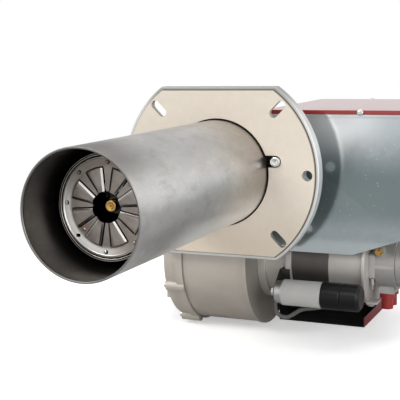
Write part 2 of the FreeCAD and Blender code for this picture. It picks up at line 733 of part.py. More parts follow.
def make_disc():
    body = new_body("diffuser_disc")
    rim_inner = disc_radius - 1.8

    def profile(outline):
        points = [(S.disc_hole, disc_front), (rim_inner, disc_front), (rim_inner + 0.6, disc_front - 1.3),
                  (disc_radius, disc_front - 1.3), (disc_radius, disc_back), (S.disc_hole, disc_back)]
        outline.loop(points, {2: ((rim_inner + 1.2, disc_front - 0.6), "left")})
    revolve(body, "XY", "V", profile)
    step = 360 / S.petal_count
    low = step / 2 - S.petal_half_angle + S.disc_turn
    high = step / 2 + S.petal_half_angle + S.disc_turn

    def opening(outline):
        outline.sector(S.disc_hole * 0.9, petal_outer, low, high)

    def petal(outline):
        outline.sector(S.disc_hole, petal_outer + S.disc_thick, low, high)

    def riser(outline):
        outline.sector(petal_outer, petal_outer + S.disc_thick, low, high)
    raised = disc_front - S.petal_raise
    cut = extrude(body, "XZ", disc_front, disc_back, opening, cut=True)
    leaf = extrude(body, "XZ", raised, raised + S.disc_thick, petal)
    wall = extrude(body, "XZ", raised + S.disc_thick, disc_front, riser)
    polar(body, [cut, leaf, wall], "Y", S.petal_count)
    dimples = [ring_point(dimple_ring, angle + S.disc_turn) for angle in (0, 90, 135, 180, 270, 315)]
    extrude(body, "XZ", disc_front - 0.8, disc_front, circles(dimples, S.dimple_radius))

    def notch(outline):
        middle = ring_point(dimple_ring, 225 + S.disc_turn)
        outline.rectangle((middle[0] - 2.6, middle[1] - 1.8), (middle[0] + 2.6, middle[1] + 1.8))
    extrude(body, "XZ", disc_front, disc_back, notch, cut=True)
    rivets = [ring_point(rivet_ring, angle + S.disc_turn) for angle in (45, 225)]
    extrude(body, "XZ", disc_front, disc_back, circles(rivets, 1.3), cut=True)
    return body


def make_disc_rivets():
    body = new_body("disc_rivets")
    places = [ring_point(rivet_ring, angle + S.disc_turn) for angle in (45, 225)]
    extrude(body, "XZ", disc_front - 1.1, disc_front, circles(places, S.rivet_radius))
    extrude(body, "XZ", disc_front, disc_back + 0.2, circles(places, 1.25))
    return body


def make_shroud():
    body = new_body("disc_ring")
    front = disc_front - 2
    cylinder_walls(body, "Y", [(shroud_inner, shroud_outer, front, front + S.shroud_length)])
    return body


def make_spider():
    """Hub with three arms that carry the disc and the ring and guide them in the tube."""
    body = new_body("head_spider")
    hub_outer = S.holder_radius + 4.5
    hub_inner = S.holder_radius + S.running_play
    cylinder_walls(body, "Y", [(hub_inner, hub_outer, spider_front, spider_back)])
    foot = tube_inner - S.foot_play

    def arm(outline):
        ring_back = disc_front - 2 + S.shroud_length
        seat = shroud_inner - S.running_play
        touch = disc_back + S.running_play
        points = [(hub_outer - 1, spider_front), (disc_radius - 7, spider_front),
                  (disc_radius - 7, touch), (disc_radius - 1, touch), (seat, touch + 2),
                  (seat, ring_back), (foot, ring_back + 6), (foot, spider_back + 4),
                  (foot - 8, spider_back + 4), (hub_outer - 1, spider_back)]
        outline.loop([(along, -radius) for radius, along in points])
    outline = Outline(body, "YZ", -S.arm_thick / 2)
    arm(outline)
    leg = body.newObject("PartDesign::Pad", "spider_arm")
    leg.Profile = outline.sketch
    bind(leg, "Length", S.arm_thick)
    body.Tip = leg
    polar(body, [leg], "Y", 3)
    return body


def make_nozzle():
    body = new_body("oil_nozzle")

    def profile(outline):
        back = nozzle_front + S.nozzle_length
        across = S.nozzle_radius
        points = [(0.4, nozzle_front + 1.2), (2.6, nozzle_front), (across - 1, nozzle_front),
                  (across, nozzle_front + 1), (across, nozzle_front + 5), (across + 1, nozzle_front + 6),
                  (across + 1, holder_front - S.running_play), (across - 1.4, holder_front - S.running_play),
                  (across - 1.4, back), (0.4, back)]
        outline.loop(points)
    revolve(body, "XY", "V", profile)
    return body


def make_nozzle_holder():
    body = new_body("nozzle_holder")

    def profile(outline):
        bore = S.nozzle_radius - 1.4 + S.running_play
        chamber = nozzle_front + S.nozzle_length + 2
        points = [(bore, holder_front), (S.holder_radius, holder_front), (S.holder_radius, holder_back),
                  (S.line_radius + S.running_play, holder_back),
                  (S.line_radius + S.running_play, holder_back - 12), (2.5, holder_back - 12), (2.5, chamber),
                  (bore, chamber)]
        outline.loop(points)
    revolve(body, "XY", "V", profile)
    return body


def make_nozzle_line():
    body = new_body("nozzle_line")
    cylinder_walls(body, "Y", [(2.5, S.line_radius, holder_back - 12, S.line_back)])

    def marks(outline):
        for step in range(5):
            start = plate_back + S.gland_length + 8 + 3 * step
            outline.rectangle((S.line_radius - 0.4, start), (S.line_radius + 1, start + 0.8))
    revolve(body, "XY", "V", marks, cut=True)
    return body


electrode_level = S.holder_radius + S.insulator_radius + 5


def make_insulators():
    body = new_body("electrode_insulators")
    front = nozzle_front + S.insulator_setback
    places = [(S.insulator_radius * 1.25 * side, electrode_level) for side in SIDES]
    extrude(body, "XZ", front, front + S.insulator_length, circles(places, S.insulator_radius))
    bores = circles(places, S.rod_radius + S.seat_play)
    extrude(body, "XZ", front, front + S.insulator_length, bores, cut=True)
    return body


def make_electrode_rods():
    """Two bent wires whose tips meet above the nozzle."""
    front = (nozzle_front + S.insulator_setback).value
    back = front + S.insulator_length.value + 9
    tip = nozzle_front.value - 2
    x = S.insulator_radius.value * 1.25
    level = electrode_level.value
    shapes = []
    for side in SIDES:
        corners = [VECTOR(x * side, back, level), VECTOR(x * side, front - 2, level),
                   VECTOR(x * side * 0.8, tip + 4, level - 4), VECTOR(2 * side, tip, level - 9)]
        path = Part.makePolygon(corners)
        section = Part.Wire([Part.Circle(corners[0], VECTOR(0, 1, 0), S.rod_radius.value).toShape()])
        shapes.append(path.makePipeShell([section], True, False, 2))
    rods = doc.addObject("Part::Feature", "electrode_rods")
    rods.Label = "electrode_rods"
    rods.Shape = Part.makeCompound(shapes)
    NODES.append(rods)
    return rods


def make_electrode_clamp():
    body = new_body("electrode_clamp")
    start = spider_back + 6
    places = [(S.insulator_radius * 1.25 * side, electrode_level) for side in SIDES]
    reach = S.insulator_radius * 2.25 + 3
    top = electrode_level + S.insulator_radius + 3
    extrude(body, "XZ", start, start + 10, boxes(((-reach, 0), (reach, top))))
    insulator_holes = circles(places, S.insulator_radius + S.seat_play)
    extrude(body, "XZ", start, start + 10, insulator_holes, cut=True)
    extrude(body, "XZ", start, start + 10, circles([(0, 0)], S.holder_radius + S.seat_play), cut=True)
    return body


# Sliding body with its fan scroll and air duct

def scroll_outline(grow, top=None):
    """The fan scroll: three quarter arcs of falling radius, a tongue and a straight front."""
    half = S.scroll_step / 2
    radii = [S.scroll_radius + grow, S.scroll_radius - S.scroll_step + grow,
             S.scroll_radius - S.scroll_step * 2 + grow]
    centres = [(S.fan_back - half, half - fan_drop), (S.fan_back - half, -half - fan_drop),
               (S.fan_back + half, -half - fan_drop)]
    ceiling = centres[2][1] + radii[2]

    def draw(outline):
        front = centres[0][0] - radii[0]
        points = [(front, centres[0][1]), (centres[1][0], centres[1][1] - radii[1]),
                  (centres[2][0] + radii[2], centres[2][1]), (centres[2][0], ceiling), (front, ceiling)]
        arcs = {0: (centres[0], "left"), 1: (centres[1], "left"), 2: (centres[2], "left")}
        outline.loop(points, arcs)
    return draw


scroll_ceiling = S.scroll_radius - S.scroll_step * 2.5 - fan_drop
scroll_roof = scroll_ceiling + S.scroll_wall
lug_turns = (200.3, 245, 292, 55)


def lug_places():
    """Centres of the fan cover's screw lugs on the scroll's wall."""
    reach = S.scroll_radius + S.scroll_wall - 1
    places = []
    for angle, quarter in zip(lug_turns, (0, 0, 1, 2)):
        radius = reach - S.scroll_step * quarter
        places.append(ring_point(radius, angle, (S.fan_back, -fan_drop)))
    return places


# Start and end of the front and the rear ears. The box's front plate is screwed to the front ones.
EARS = ((body_front + 4, S.box_front - S.seat_play), (S.rear_ear_start, S.rear_ear_start + S.ear_length))


def make_cast_body():
    body = new_body("cast_body")
    extrude(body, "XZ", body_front, S.duct_back, circles([(0, 0)], duct_radius))
    extrude(body, "YZ", -S.scroll_left, S.scroll_right, scroll_outline(S.scroll_wall))
    ridge = scroll_outline(S.scroll_wall + S.ridge_proud)
    extrude(body, "YZ", S.scroll_right - S.ridge_width, S.scroll_right, ridge)
    for start, end in EARS:
        extrude(body, "XZ", start, end, circles(BAR_PLACES, ear_radius))
        web = [((duct_inner, S.bar_level - 6), (bar_place, S.bar_level + 6)),
               ((-bar_place, S.bar_level - 6), (-duct_inner, S.bar_level + 6))]
        extrude(body, "XZ", start, end, boxes(*web))
    box_seat = boxes(((bar_place, S.bar_level - 6), (box_left - S.seat_play, S.bar_level + 6)))
    extrude(body, "XZ", EARS[1][0], EARS[1][1], box_seat)
    extrude(body, "XZ", body_front, outlet_back, circles([(0, 0)], duct_inner), cut=True)

    def rear_duct(outline):
        across = root(duct_inner * duct_inner - scroll_roof * scroll_roof)
        outline.loop([(across, scroll_roof), (-across, scroll_roof)], {0: ((0, 0), "left")})
    extrude(body, "XZ", outlet_back, S.duct_back, rear_duct, cut=True)
    extrude(body, "YZ", -S.scroll_left, S.scroll_right - S.scroll_wall, scroll_outline(0), cut=True)
    chimney_low = (-S.outlet_left, outlet_back - S.outlet_depth)
    chimney = boxes((chimney_low, (S.outlet_right, outlet_back)))
    extrude(body, "XY", scroll_ceiling - 1, scroll_roof + 8, chimney, cut=True)
    hub_hole = circles([(S.fan_back, -fan_drop)], S.hub_radius + 12)
    extrude(body, "YZ", S.scroll_right - S.scroll_wall, S.scroll_right, hub_hole, cut=True)
    extrude(body, "XZ", body_front, S.duct_back, circles(BAR_PLACES, ear_hole), cut=True)
    return body


def make_fan_cover():
    body = new_body("fan_cover")
    right = -(S.scroll_left + S.seat_play)
    band_left = right - S.cover_band
    extrude(body, "YZ", band_left, right, scroll_outline(S.scroll_wall + S.cover_proud))
    extrude(body, "YZ", -cover_left, band_left, scroll_outline(S.scroll_wall))
    extrude(body, "YZ", -cover_left, right, circles(lug_places(), S.cover_lug_radius))
    inside = scroll_outline(S.scroll_wall - S.cover_skin)
    extrude(body, "YZ", -cover_left + S.cover_skin, right, inside, cut=True)
    eye = circles([(S.fan_back, -fan_drop)], S.eye_radius)
    extrude(body, "YZ", -cover_left, -cover_left + S.cover_skin, eye, cut=True)
    return body


def make_body_screws():
    """Equal socket screws in the fan cover's lugs and round the rear plate."""
    body = new_body("body_screws")
    left = -cover_left
    rear_places = [ring_point(duct_radius - 6, 45 + 90 * step) for step in range(4)]
    head = S.socket_head_height
    for plane, start, places, socket in (("YZ", left - head, lug_places(), left - head),
                                         ("XZ", plate_back, rear_places, plate_back + head - 2)):
        extrude(body, plane, start, start + head, circles(places, S.socket_head_radius))
        extrude(body, plane, socket, socket + 2, hexagons(places, 2.4), cut=True)
    return body


def make_inlet_cone():
    body = new_body("inlet_cone", (0, S.fan_back, -fan_drop))
    left = -cover_left + S.cover_skin + S.seat_play
    throat_end = wheel_left - 2

    def profile(outline):
        skin = 1.2
        points = [(left, S.eye_radius + 1), (left, S.wheel_radius), (left + skin, S.wheel_radius),
                  (left + skin, S.eye_radius + 12), (throat_end, S.cone_throat + skin),
                  (throat_end, S.cone_throat)]
        outline.loop(points)
    revolve(body, "XY", "H", profile)
    return body


def make_fan_wheel():
    """Drum wheel with forward-curved blades between a back plate and a ring."""
    body = new_body("fan_wheel", (0, S.fan_back, -fan_drop))
    bore = S.shaft_radius + S.running_play
    cylinder_walls(body, "X", [(bore, S.wheel_radius, wheel_right, wheel_right + S.wheel_plate)])
    hub_left = wheel_right + S.wheel_plate - S.hub_length
    cylinder_walls(body, "X", [(bore, S.hub_radius, hub_left, wheel_right)])
    ring = (blade_inner + 3, S.wheel_radius, wheel_left - S.wheel_plate, wheel_left)
    first = ring_point(blade_inner, 0)
    second = ring_point(S.wheel_radius - 0.3, S.blade_sweep)
    middle = ((first[0] + second[0]) / 2, (first[1] + second[1]) / 2)
    chord = (second[0] - first[0], second[1] - first[1])
    chord_length = root(chord[0] * chord[0] + chord[1] * chord[1])
    height = root(S.blade_curve * S.blade_curve - chord_length * chord_length / 4)
    centre = (middle[0] - chord[1] / chord_length * height, middle[1] + chord[0] / chord_length * height)
    shrink = 1 - S.blade_thick / S.blade_curve

    def inner_side(point):
        return (centre[0] + (point[0] - centre[0]) * shrink, centre[1] + (point[1] - centre[1]) * shrink)

    def blade(outline):
        points = [first, second, inner_side(second), inner_side(first)]
        outline.loop(points, {0: (centre, "left"), 2: (centre, "right")})
    blade_pad = extrude(body, "YZ", wheel_left, wheel_right + 0.2, blade)
    polar(body, [blade_pad], "X", S.blade_count)
    cylinder_walls(body, "X", [ring])
    return body


# Motor

def make_motor_neck():
    body = new_body("motor_neck", (0, S.fan_back, -fan_drop))
    left = S.scroll_right + S.seat_play
    wall = S.motor_wall
    bearing_left = S.neck_right - S.bearing_width

    def profile(outline):
        seat = S.bearing_radius + S.seat_play
        core = S.rotor_radius + S.air_gap + 4
        points = [(left, S.neck_radius - wall), (left, S.ring_radius), (ring_right, S.ring_radius),
                  (ring_right, S.neck_radius), (S.neck_right, S.neck_radius),
                  (S.neck_right, S.shield_radius), (shield_right, S.shield_radius), (shield_right, core),
                  (S.neck_right, core), (S.neck_right, seat), (bearing_left, seat),
                  (bearing_left, S.shaft_radius + 3), (bearing_left - wall, S.shaft_radius + 3),
                  (bearing_left - wall, S.neck_radius - wall)]
        outline.loop(points)
    revolve(body, "XY", "H", profile)
    return body


def make_stator():
    body = new_body("motor_stator", (0, S.fan_back, -fan_drop))
    inside = S.rotor_radius + S.air_gap
    cylinder_walls(body, "X", [(inside, S.stator_radius, shield_right + S.seat_play, stator_right)])
    return body


def make_end_bell():
    body = new_body("motor_end_bell", (0, S.fan_back, -fan_drop))
    left = stator_right + S.seat_play
    wall = S.motor_wall
    seat_left = bell_right - S.bearing_width - wall

    def profile(outline):
        bore = S.bearing_radius + S.seat_play
        points = [(left, S.bell_radius - wall), (left, S.bell_radius), (bell_right, S.bell_radius),
                  (bell_right, S.coupling_radius + 3), (bell_right - wall, S.coupling_radius + 3),
                  (bell_right - wall, bore), (seat_left, bore), (seat_left, bore + wall),
                  (bell_right - wall, bore + wall), (bell_right - wall, S.bell_radius - wall)]
        outline.loop(points)
    revolve(body, "XY", "H", profile)
    return body


def make_shaft():
    body = new_body("motor_shaft", (0, S.fan_back, -fan_drop))
    left = wheel_right - S.hub_length
    right = bell_right - 2
    core_left = shield_right + 5
    core_right = stator_right - 3

    def profile(outline):
        points = [(left, 0), (right, 0), (right, S.shaft_radius), (core_right, S.shaft_radius),
                  (core_right, S.rotor_radius), (core_left, S.rotor_radius), (core_left, S.shaft_radius),
                  (left, S.shaft_radius)]
        outline.loop(points)
    revolve(body, "XY", "H", profile)
    return body


def make_coupling():
    body = new_body("pump_coupling", (0, S.fan_back, -fan_drop))
    left = bell_right - S.motor_wall + 1
    middle = bell_right - 2
    right = pump_plate_right + 4
    spindle = 4

    def profile(outline):
        points = [(left, S.shaft_radius + S.running_play), (left, S.coupling_radius),
                  (right, S.coupling_radius), (right, spindle), (right + 12, spindle), (right + 12, 0),
                  (middle + S.seat_play, 0), (middle + S.seat_play, S.shaft_radius + S.running_play)]
        outline.loop(points)
    revolve(body, "XY", "H", profile)
    return body


# Capacitor beside the motor

def make_capacitor():
    can = new_body("capacitor_can", (0, S.can_back, -can_drop))
    neck_end = S.can_start + S.can_neck

    def profile(outline):
        neck = S.can_radius - 2
        stud_end = S.can_start - 8
        points = [(stud_end, 0), (stud_end, S.stud_radius), (S.can_start, S.stud_radius),
                  (S.can_start, neck - 1),
                  (S.can_start + 1, neck), (neck_end - 0.8, neck), (neck_end, S.can_radius),
                  (S.can_start + S.can_length, S.can_radius), (S.can_start + S.can_length, 0)]
        outline.loop(points)
    revolve(can, "XY", "H", profile)
    cap = new_body("capacitor_cap", (0, S.can_back, -can_drop))
    cap_start = S.can_start + S.can_length
    cap_end = cap_start + S.cap_length
    groove = cap_start + S.cap_length * 0.47

    def cap_profile(outline):
        edge = S.cap_radius
        points = [(cap_start, 0), (cap_start, edge - 1), (cap_start + 1, edge), (groove, edge),
                  (groove + 0.5, edge - 0.9), (groove + 2, edge - 0.9), (groove + 2.5, edge),
                  (cap_end - 4, edge), (cap_end, edge - 4), (cap_end, 0)]
        outline.loop(points)
    revolve(cap, "XY", "H", cap_profile)
    nut = new_body("capacitor_nut", (0, S.can_back, -can_drop))
    nut_right = S.can_start - S.bracket_thick
    extrude(nut, "YZ", nut_right - 5, nut_right, hexagons([(0, 0)], S.stud_nut_radius))
    thread = circles([(0, 0)], S.stud_radius + S.running_play)
    extrude(nut, "YZ", nut_right - 5, nut_right, thread, cut=True)


def make_bracket():
    """Plate from the capacitor's stud to the motor's neck, with a foot on the shield's rim."""
    body = new_body("capacitor_bracket", (0, S.can_back, -can_drop))
    axis = (S.fan_back - S.can_back, can_drop - fan_drop)
    reach = root(axis[0] * axis[0] + axis[1] * axis[1])
    side = (axis[1] / reach * 11, axis[0] / reach * 11)
    left = S.can_start - S.bracket_thick
    rim = S.shield_radius + S.seat_play
    corner = ring_point(rim + S.bracket_thick, 185, axis)
    high = ring_point(S.neck_radius + S.seat_play, 186, axis)
    low = ring_point(S.neck_radius + S.seat_play, 212, axis)

    def plate(outline):
        points = [(side[0], -side[1]), low, high, corner, (-side[0], side[1])]
        outline.loop(points, {1: (axis, "right"), 4: ((0, 0), "left")})
    extrude(body, "YZ", left, S.can_start - S.running_play, plate)
    stud_hole = circles([(0, 0)], S.stud_radius + S.running_play)
    extrude(body, "YZ", left, S.can_start - S.running_play, stud_hole, cut=True)

    def foot(outline):
        outline.sector(rim, rim + S.bracket_thick, 185, 207, axis)
    extrude(body, "YZ", left, shield_right - 1, foot)
    return body


# Oil pump

def make_pump():
    plate = new_body("pump_plate", (0, S.fan_back, -fan_drop))
    left = bell_right + S.seat_play
    cylinder_walls(plate, "X", [(S.coupling_radius + 3, S.pump_plate_radius, left, pump_plate_right)])
    foot_low = 13 - S.pump_plate_radius
    foot = boxes(((pump_plate_right - 1, -46), (pump_plate_right + 14, -24)))
    extrude(plate, "XY", foot_low, foot_low + 3, foot)
    body = new_body("pump_body", (0, S.fan_back, -fan_drop))
    start = pump_plate_right + S.seat_play
    ear_end = start + S.pump_ear_width
    ear = S.pump_ear_half_height

    reach = S.pump_body_radius
    extrude(body, "YZ", start, ear_end, boxes(((-reach, -ear), (reach, ear))))
    round_edges(body, 3, lambda edge: edge.BoundBox.XLength > S.pump_ear_width.value - 0.01)
    bleed = [(start + S.pump_ear_width / 2, 4 - reach)]
    extrude(body, "XY", -ear - 8, -ear, circles(bleed, 2.4))
    extrude(body, "XY", -ear - 15, -ear - 8, circles(bleed, 1.3))
    extrude(body, "YZ", start, ear_end, circles([(0, 0)], S.pump_hub_radius))
    extrude(body, "YZ", ear_end, pump_body_right, circles([(0, 0)], S.pump_body_radius))
    low = -(S.pump_body_radius + 4)
    extrude(body, "YZ", ear_end + 3, pump_body_right - 3, boxes(((-20, low), (20, 0))))
    front_boss = circles([(ear_end + 7, 21.5)], 6.2)
    extrude(body, "XZ", -S.pump_body_radius, 0, front_boss)
    stem = circles([(ear_end + 15, 0)], 9)
    extrude(body, "XZ", 0, S.pump_body_radius + 9, stem)
    bore = circles([(0, 0)], S.coupling_radius + 1)
    extrude(body, "YZ", start, pump_plate_right + 5, bore, cut=True)
    spindle = circles([(0, 0)], 4 + S.running_play)
    extrude(body, "YZ", start, pump_body_right - 4, spindle, cut=True)
    cover = new_body("pump_cover", (0, S.fan_back, -fan_drop))
    right = pump_body_right + S.pump_cover_width
    extrude(cover, "YZ", pump_body_right + S.seat_play, right, circles([(0, 0)], S.pump_cover_radius))
    bolts = new_body("pump_cover_screws", (0, S.fan_back, -fan_drop))
    places = [ring_point(S.pump_cover_radius - 6, angle) for angle in (45, 135, 225, 315)]
    extrude(bolts, "YZ", right, right + 3.5, circles(places, 4))
    extrude(bolts, "YZ", right + 1.5, right + 3.5, hexagons(places, 2.2), cut=True)
    return body


def make_pump_fittings():
    """Brass elbow and plugs on the pump's ports."""
    body = new_body("pump_fittings", (0, S.fan_back, -fan_drop))
    start = pump_plate_right + S.pump_ear_width + 12
    top = S.pump_body_radius + 0.3
    places = [(start, -12), (start, 12)]
    extrude(body, "XY", top - 0.2, top + 10, hexagons(places, 7))
    extrude(body, "XY", top + 10, top + 15, circles(places, 5))
    face = -S.pump_body_radius - S.seat_play
    extrude(body, "XZ", face - 7, face, hexagons([(start - 5, 21.5)], 5.5))
    extrude(body, "XZ", face - 11, face - 7, circles([(start - 5, 21.5)], 3.5))
    plugs = new_body("port_plugs", (0, S.fan_back, -fan_drop))
    low = -(S.pump_body_radius + 4 + S.seat_play)
    places = [(start, -11), (start, 11)]
    extrude(plugs, "XY", low - 6, low, circles(places, 10.5))
    extrude(plugs, "XY", low - 22, low - 6, circles(places, 8))
    return body


def make_solenoid():
    body = new_body("solenoid_coil", (0, S.fan_back, -fan_drop))
    start = pump_plate_right + S.pump_ear_width + 2
    back = S.pump_body_radius + 0.3
    stem_end = back + 9

    def coil(outline):
        outline.rectangle((start, -16), (start + 26, 16))
    extrude(body, "XZ", stem_end, stem_end + 30, coil)
    extrude(body, "XZ", stem_end + 30, stem_end + 34, circles([(start + 13, 0)], 6))
    return body


# Galvanised box and its cover

def make_box():
    body = new_body("electric_box")
    sheet_back = S.box_front + S.sheet_thick
    clear = duct_radius + S.plate_clearance
    level = root(clear * clear - S.plate_left * S.plate_left)

    def apron(outline):
        points = [(S.plate_left, -S.apron_bottom), (S.apron_corner, -S.apron_bottom),
                  (S.box_right, S.apron_rise - S.apron_bottom), (S.box_right, S.box_top),
                  (S.plate_left, S.box_top), (S.plate_left, level), (S.plate_left, -level)]
        outline.loop(points, {5: ((0, 0), "right")})
    extrude(body, "XZ", S.box_front, sheet_back, apron)
    case = boxes(((box_left, S.box_front), (S.box_right, box_back)))
    extrude(body, "XY", -S.box_floor, S.box_top, case)
    inside = boxes(((box_left + S.sheet_thick, sheet_back),
                    (S.box_right - S.sheet_thick, box_back - S.sheet_thick)))
    extrude(body, "XY", S.sheet_thick - S.box_floor, S.box_top, inside, cut=True)
    lip_low = S.box_top - S.sheet_thick
    lips = boxes(((S.plate_left, S.box_front), (S.box_right, S.box_front + S.lip_width)))
    extrude(body, "XY", lip_low, S.box_top, lips)
    back_lip = boxes(((box_left, box_back - S.lip_width), (S.box_right, box_back)))
    extrude(body, "XY", lip_low, S.box_top, back_lip)
    bead = boxes(((S.plate_left, S.box_top - S.top_bead), (S.box_right, S.box_top)))
    extrude(body, "XZ", S.box_front - 0.9, S.box_front, bead)
    bar_hole = circles([BAR_PLACES[1]], S.bar_radius + 3)
    extrude(body, "XZ", S.box_front, sheet_back, bar_hole, cut=True)
    rear_low = box_back - S.sheet_thick
    extrude(body, "XZ", rear_low, box_back, circles([(button_x, button_z)], 6.6), cut=True)
    switch_hole = boxes(((switch_x - 7, switch_z - 12), (switch_x + 7, switch_z + 12)))
    extrude(body, "XZ", rear_low, box_back, switch_hole, cut=True)
    extrude(body, "XZ", rear_low, box_back, circles(GLAND_PLACES, 8), cut=True)
    make_guard(body)
    return body


def make_guard(body):
    """The box's folded guard below and behind the motor, with low sides."""
    low = -S.guard_drop
    high = -S.box_floor
    gusset = S.guard_lip * 3

    def sides(outline):
        outline.loop([(S.guard_front, low), (S.guard_back, low), (S.guard_back, high),
                      (S.guard_back - S.guard_lip, high), (S.guard_back - S.guard_lip, low + gusset),
                      (S.guard_back - gusset, low + S.guard_lip), (S.guard_front, low + S.guard_lip)])
    extrude(body, "YZ", S.guard_left, S.guard_right, sides)
    hollow = boxes(((S.guard_front - 1, low + S.sheet_thick), (S.guard_back - S.sheet_thick, high)))
    extrude(body, "YZ", S.guard_left + S.sheet_thick, S.guard_right - S.sheet_thick, hollow, cut=True)
    seam = boxes(((box_left, S.guard_back - S.sheet_thick), (S.guard_right, S.guard_back + S.guard_lip)))
    extrude(body, "XY", high - S.sheet_thick, high, seam)


button_x = (box_left + S.box_right) / 2 + 14
button_z = sized(6)
switch_x = box_left + 26
switch_z = sized(6)
GLAND_PLACES = [(box_left + 24 + 30 * step, 24 - S.box_floor) for step in range(3)]


def make_lid():
    body = new_body("cover_lid")
    extrude(body, "XY", lid_bottom, lid_top, boxes(((lid_left, lid_front), (lid_right, lid_back))))
    round_edges(body, S.lid_corner, lambda edge: edge.BoundBox.ZLength > S.lid_height.value - 0.01)
    inside = boxes(((lid_left + S.lid_thick, lid_front + S.lid_thick),
                    (lid_right - S.lid_thick, lid_back - S.lid_thick)))
    extrude(body, "XY", lid_bottom, lid_top - S.lid_thick, inside, cut=True)
    round_edges(body, S.lid_thick * 0.6, lambda edge: edge.BoundBox.ZMin > lid_top.value - 0.01)
    return body


def make_lid_screws():
    body = new_body("cover_lid_screws")
    level = lid_bottom + S.lid_height / 2
    front_places = [(S.lid_screw_place, level)]
    extrude(body, "XZ", lid_front - 3, lid_front, circles(front_places, 3.6))
    heads = circles([(switch_x, level), (S.lid_screw_place, level)], 3.6)
    extrude(body, "XZ", lid_back, lid_back + 3, heads)
    return body


def make_control_box():
    base = new_body("control_base")
    floor = S.sheet_thick - S.box_floor + S.seat_play
    left = button_x - 31
    right = button_x + 31
    back = box_back - S.sheet_thick - 6
    front = back - 92
    base_top = floor + 24
    extrude(base, "XY", floor, base_top, boxes(((left, front), (right, back))))
    box = new_body("control_box")
    top = S.box_top - 30
    case = boxes(((left + 1, front + 1), (right - 1, back - 1)))
    extrude(box, "XY", base_top + S.seat_play, top, case)
    well = circles([(button_x, button_z)], 5.35)
    extrude(box, "XZ", back - 9, back - 1, well, cut=True)
    button = new_body("reset_button")
    button_front = back - 5
    extrude(button, "XZ", button_front, box_back + 3, circles([(button_x, button_z)], 5.3))
    switch = new_body("power_switch", (switch_x, box_back + 1.5, switch_z))
    extrude(switch, "YZ", -5.6, 5.6, rocker)
    frame = new_body("switch_frame")
    wide = boxes(((switch_x - 9, switch_z - 14), (switch_x + 9, switch_z + 14)))
    extrude(frame, "XZ", box_back, box_back + 2, wide)
    deep = boxes(((switch_x - 6.8, switch_z - 11.8), (switch_x + 6.8, switch_z + 11.8)))
    extrude(frame, "XZ", box_back - 14, box_back, deep)
    opening = boxes(((switch_x - 5.8, switch_z - 10.6), (switch_x + 5.8, switch_z + 10.6)))
    extrude(frame, "XZ", box_back - 10, box_back + 2, opening, cut=True)


def rocker(outline):
    """Side view of the rocker: two sloping halves round its pivot."""
    points = [(-6, -7), (0.5, -9.6), (2.6, -9.4), (0.7, 0), (1.6, 9.4), (-0.5, 9.8), (-6, 7)]
    outline.loop(points)


def make_transformer():
    body = new_body("ignition_transformer")
    floor = S.sheet_thick - S.box_floor + S.seat_play
    left = box_left + S.sheet_thick + 8
    right = left + S.transformer_width
    front = S.box_front + S.sheet_thick + 22
    top = floor + S.transformer_width
    extrude(body, "XY", floor, top, boxes(((left, front), (right, front + S.transformer_depth))))
    posts = [(left + 16, front + 18), (right - 16, front + 18)]
    extrude(body, "XY", top, top + 16, circles(posts, 7))
    strip = new_body("terminal_strip")
    start = right + S.strip_gap
    extrude(strip, "XY", floor, floor + 18, boxes(((start, front), (start + 20, front + 92))))
    walls = [((start + 4, front + 6 + 12 * step), (start + 16, front + 12 + 12 * step))
             for step in range(7)]
    extrude(strip, "XY", floor + 8, floor + 18, boxes(*walls), cut=True)


def make_glands():
    body = new_body("cable_glands")
    wall_front = box_back - S.sheet_thick
    extrude(body, "XZ", box_back, box_back + 4, hexagons(GLAND_PLACES, 11.5))
    extrude(body, "XZ", box_back + 4, box_back + 14, circles(GLAND_PLACES, 9))
    extrude(body, "XZ", wall_front - 5, box_back, circles(GLAND_PLACES, 7.8))
    extrude(body, "XZ", wall_front - 5, box_back + 14, circles(GLAND_PLACES, 4.5), cut=True)
    return body


# Rear plate, window and nozzle line's gland

def make_rear_plate():
    body = new_body("rear_plate")
    start = S.duct_back + S.seat_play
    extrude(body, "XZ", start, plate_back, circles([(0, 0)], duct_radius))
    line_hole = circles([(0, 0)], S.line_radius + 0.6)
    extrude(body, "XZ", start, plate_back, line_hole, cut=True)
    window_at = [(-window_place, window_level)]
    extrude(body, "XZ", plate_back, plate_back + 6, circles(window_at, S.window_radius + 3))
    extrude(body, "XZ", start, plate_back + 6, circles(window_at, S.window_radius - 1.5), cut=True)
    extrude(body, "XZ", plate_back + 3, plate_back + 6, circles(window_at, S.window_radius), cut=True)
    pin_at = [(-window_place, window_level + S.window_radius + 8)]
    extrude(body, "XZ", plate_back, plate_back + 6, circles(pin_at, 4.5))
    extrude(body, "XZ", plate_back + 6, plate_back + 12, circles(pin_at, 2.5))
    glass = new_body("window_glass")
    extrude(glass, "XZ", plate_back + 3, plate_back + 5.8, circles(window_at, S.window_radius - 0.3))
    flap = new_body("window_flap")
    flap_front = plate_back + 6 + S.rest_gap
    extrude(flap, "XZ", flap_front, flap_front + 2, window_cover)
    extrude(flap, "XZ", flap_front, flap_front + 4, circles(pin_at, 4.6))
    extrude(flap, "XZ", flap_front, flap_front + 4, circles(pin_at, 2.5 + S.running_play), cut=True)
    gland = new_body("line_gland")
    bore = S.line_radius + S.running_play
    cylinder_walls(gland, "Y", [
        (bore, S.gland_radius, plate_back + 0.05, plate_back + S.gland_length)])


def window_cover(outline):
    """Round leaf with an arm up to its pin."""
    x = -window_place
    pin = window_level + S.window_radius + 8
    radius = S.window_radius + 2
    half = sized(4)
    low = window_level + root(radius * radius - half * half)
    outline.loop([(x + half, low), (x + half, pin), (x - half, pin), (x - half, low)],
                 {3: ((x, window_level), "left")})


def make_photocell():
    body = new_body("flame_sensor")
    at = [(window_place, window_level)]
    extrude(body, "XZ", plate_back, plate_back + 26, circles(at, 9))
    extrude(body, "XZ", plate_back + 26, plate_back + 34, circles(at, 6.5))
    return body


# Air intake with its damper

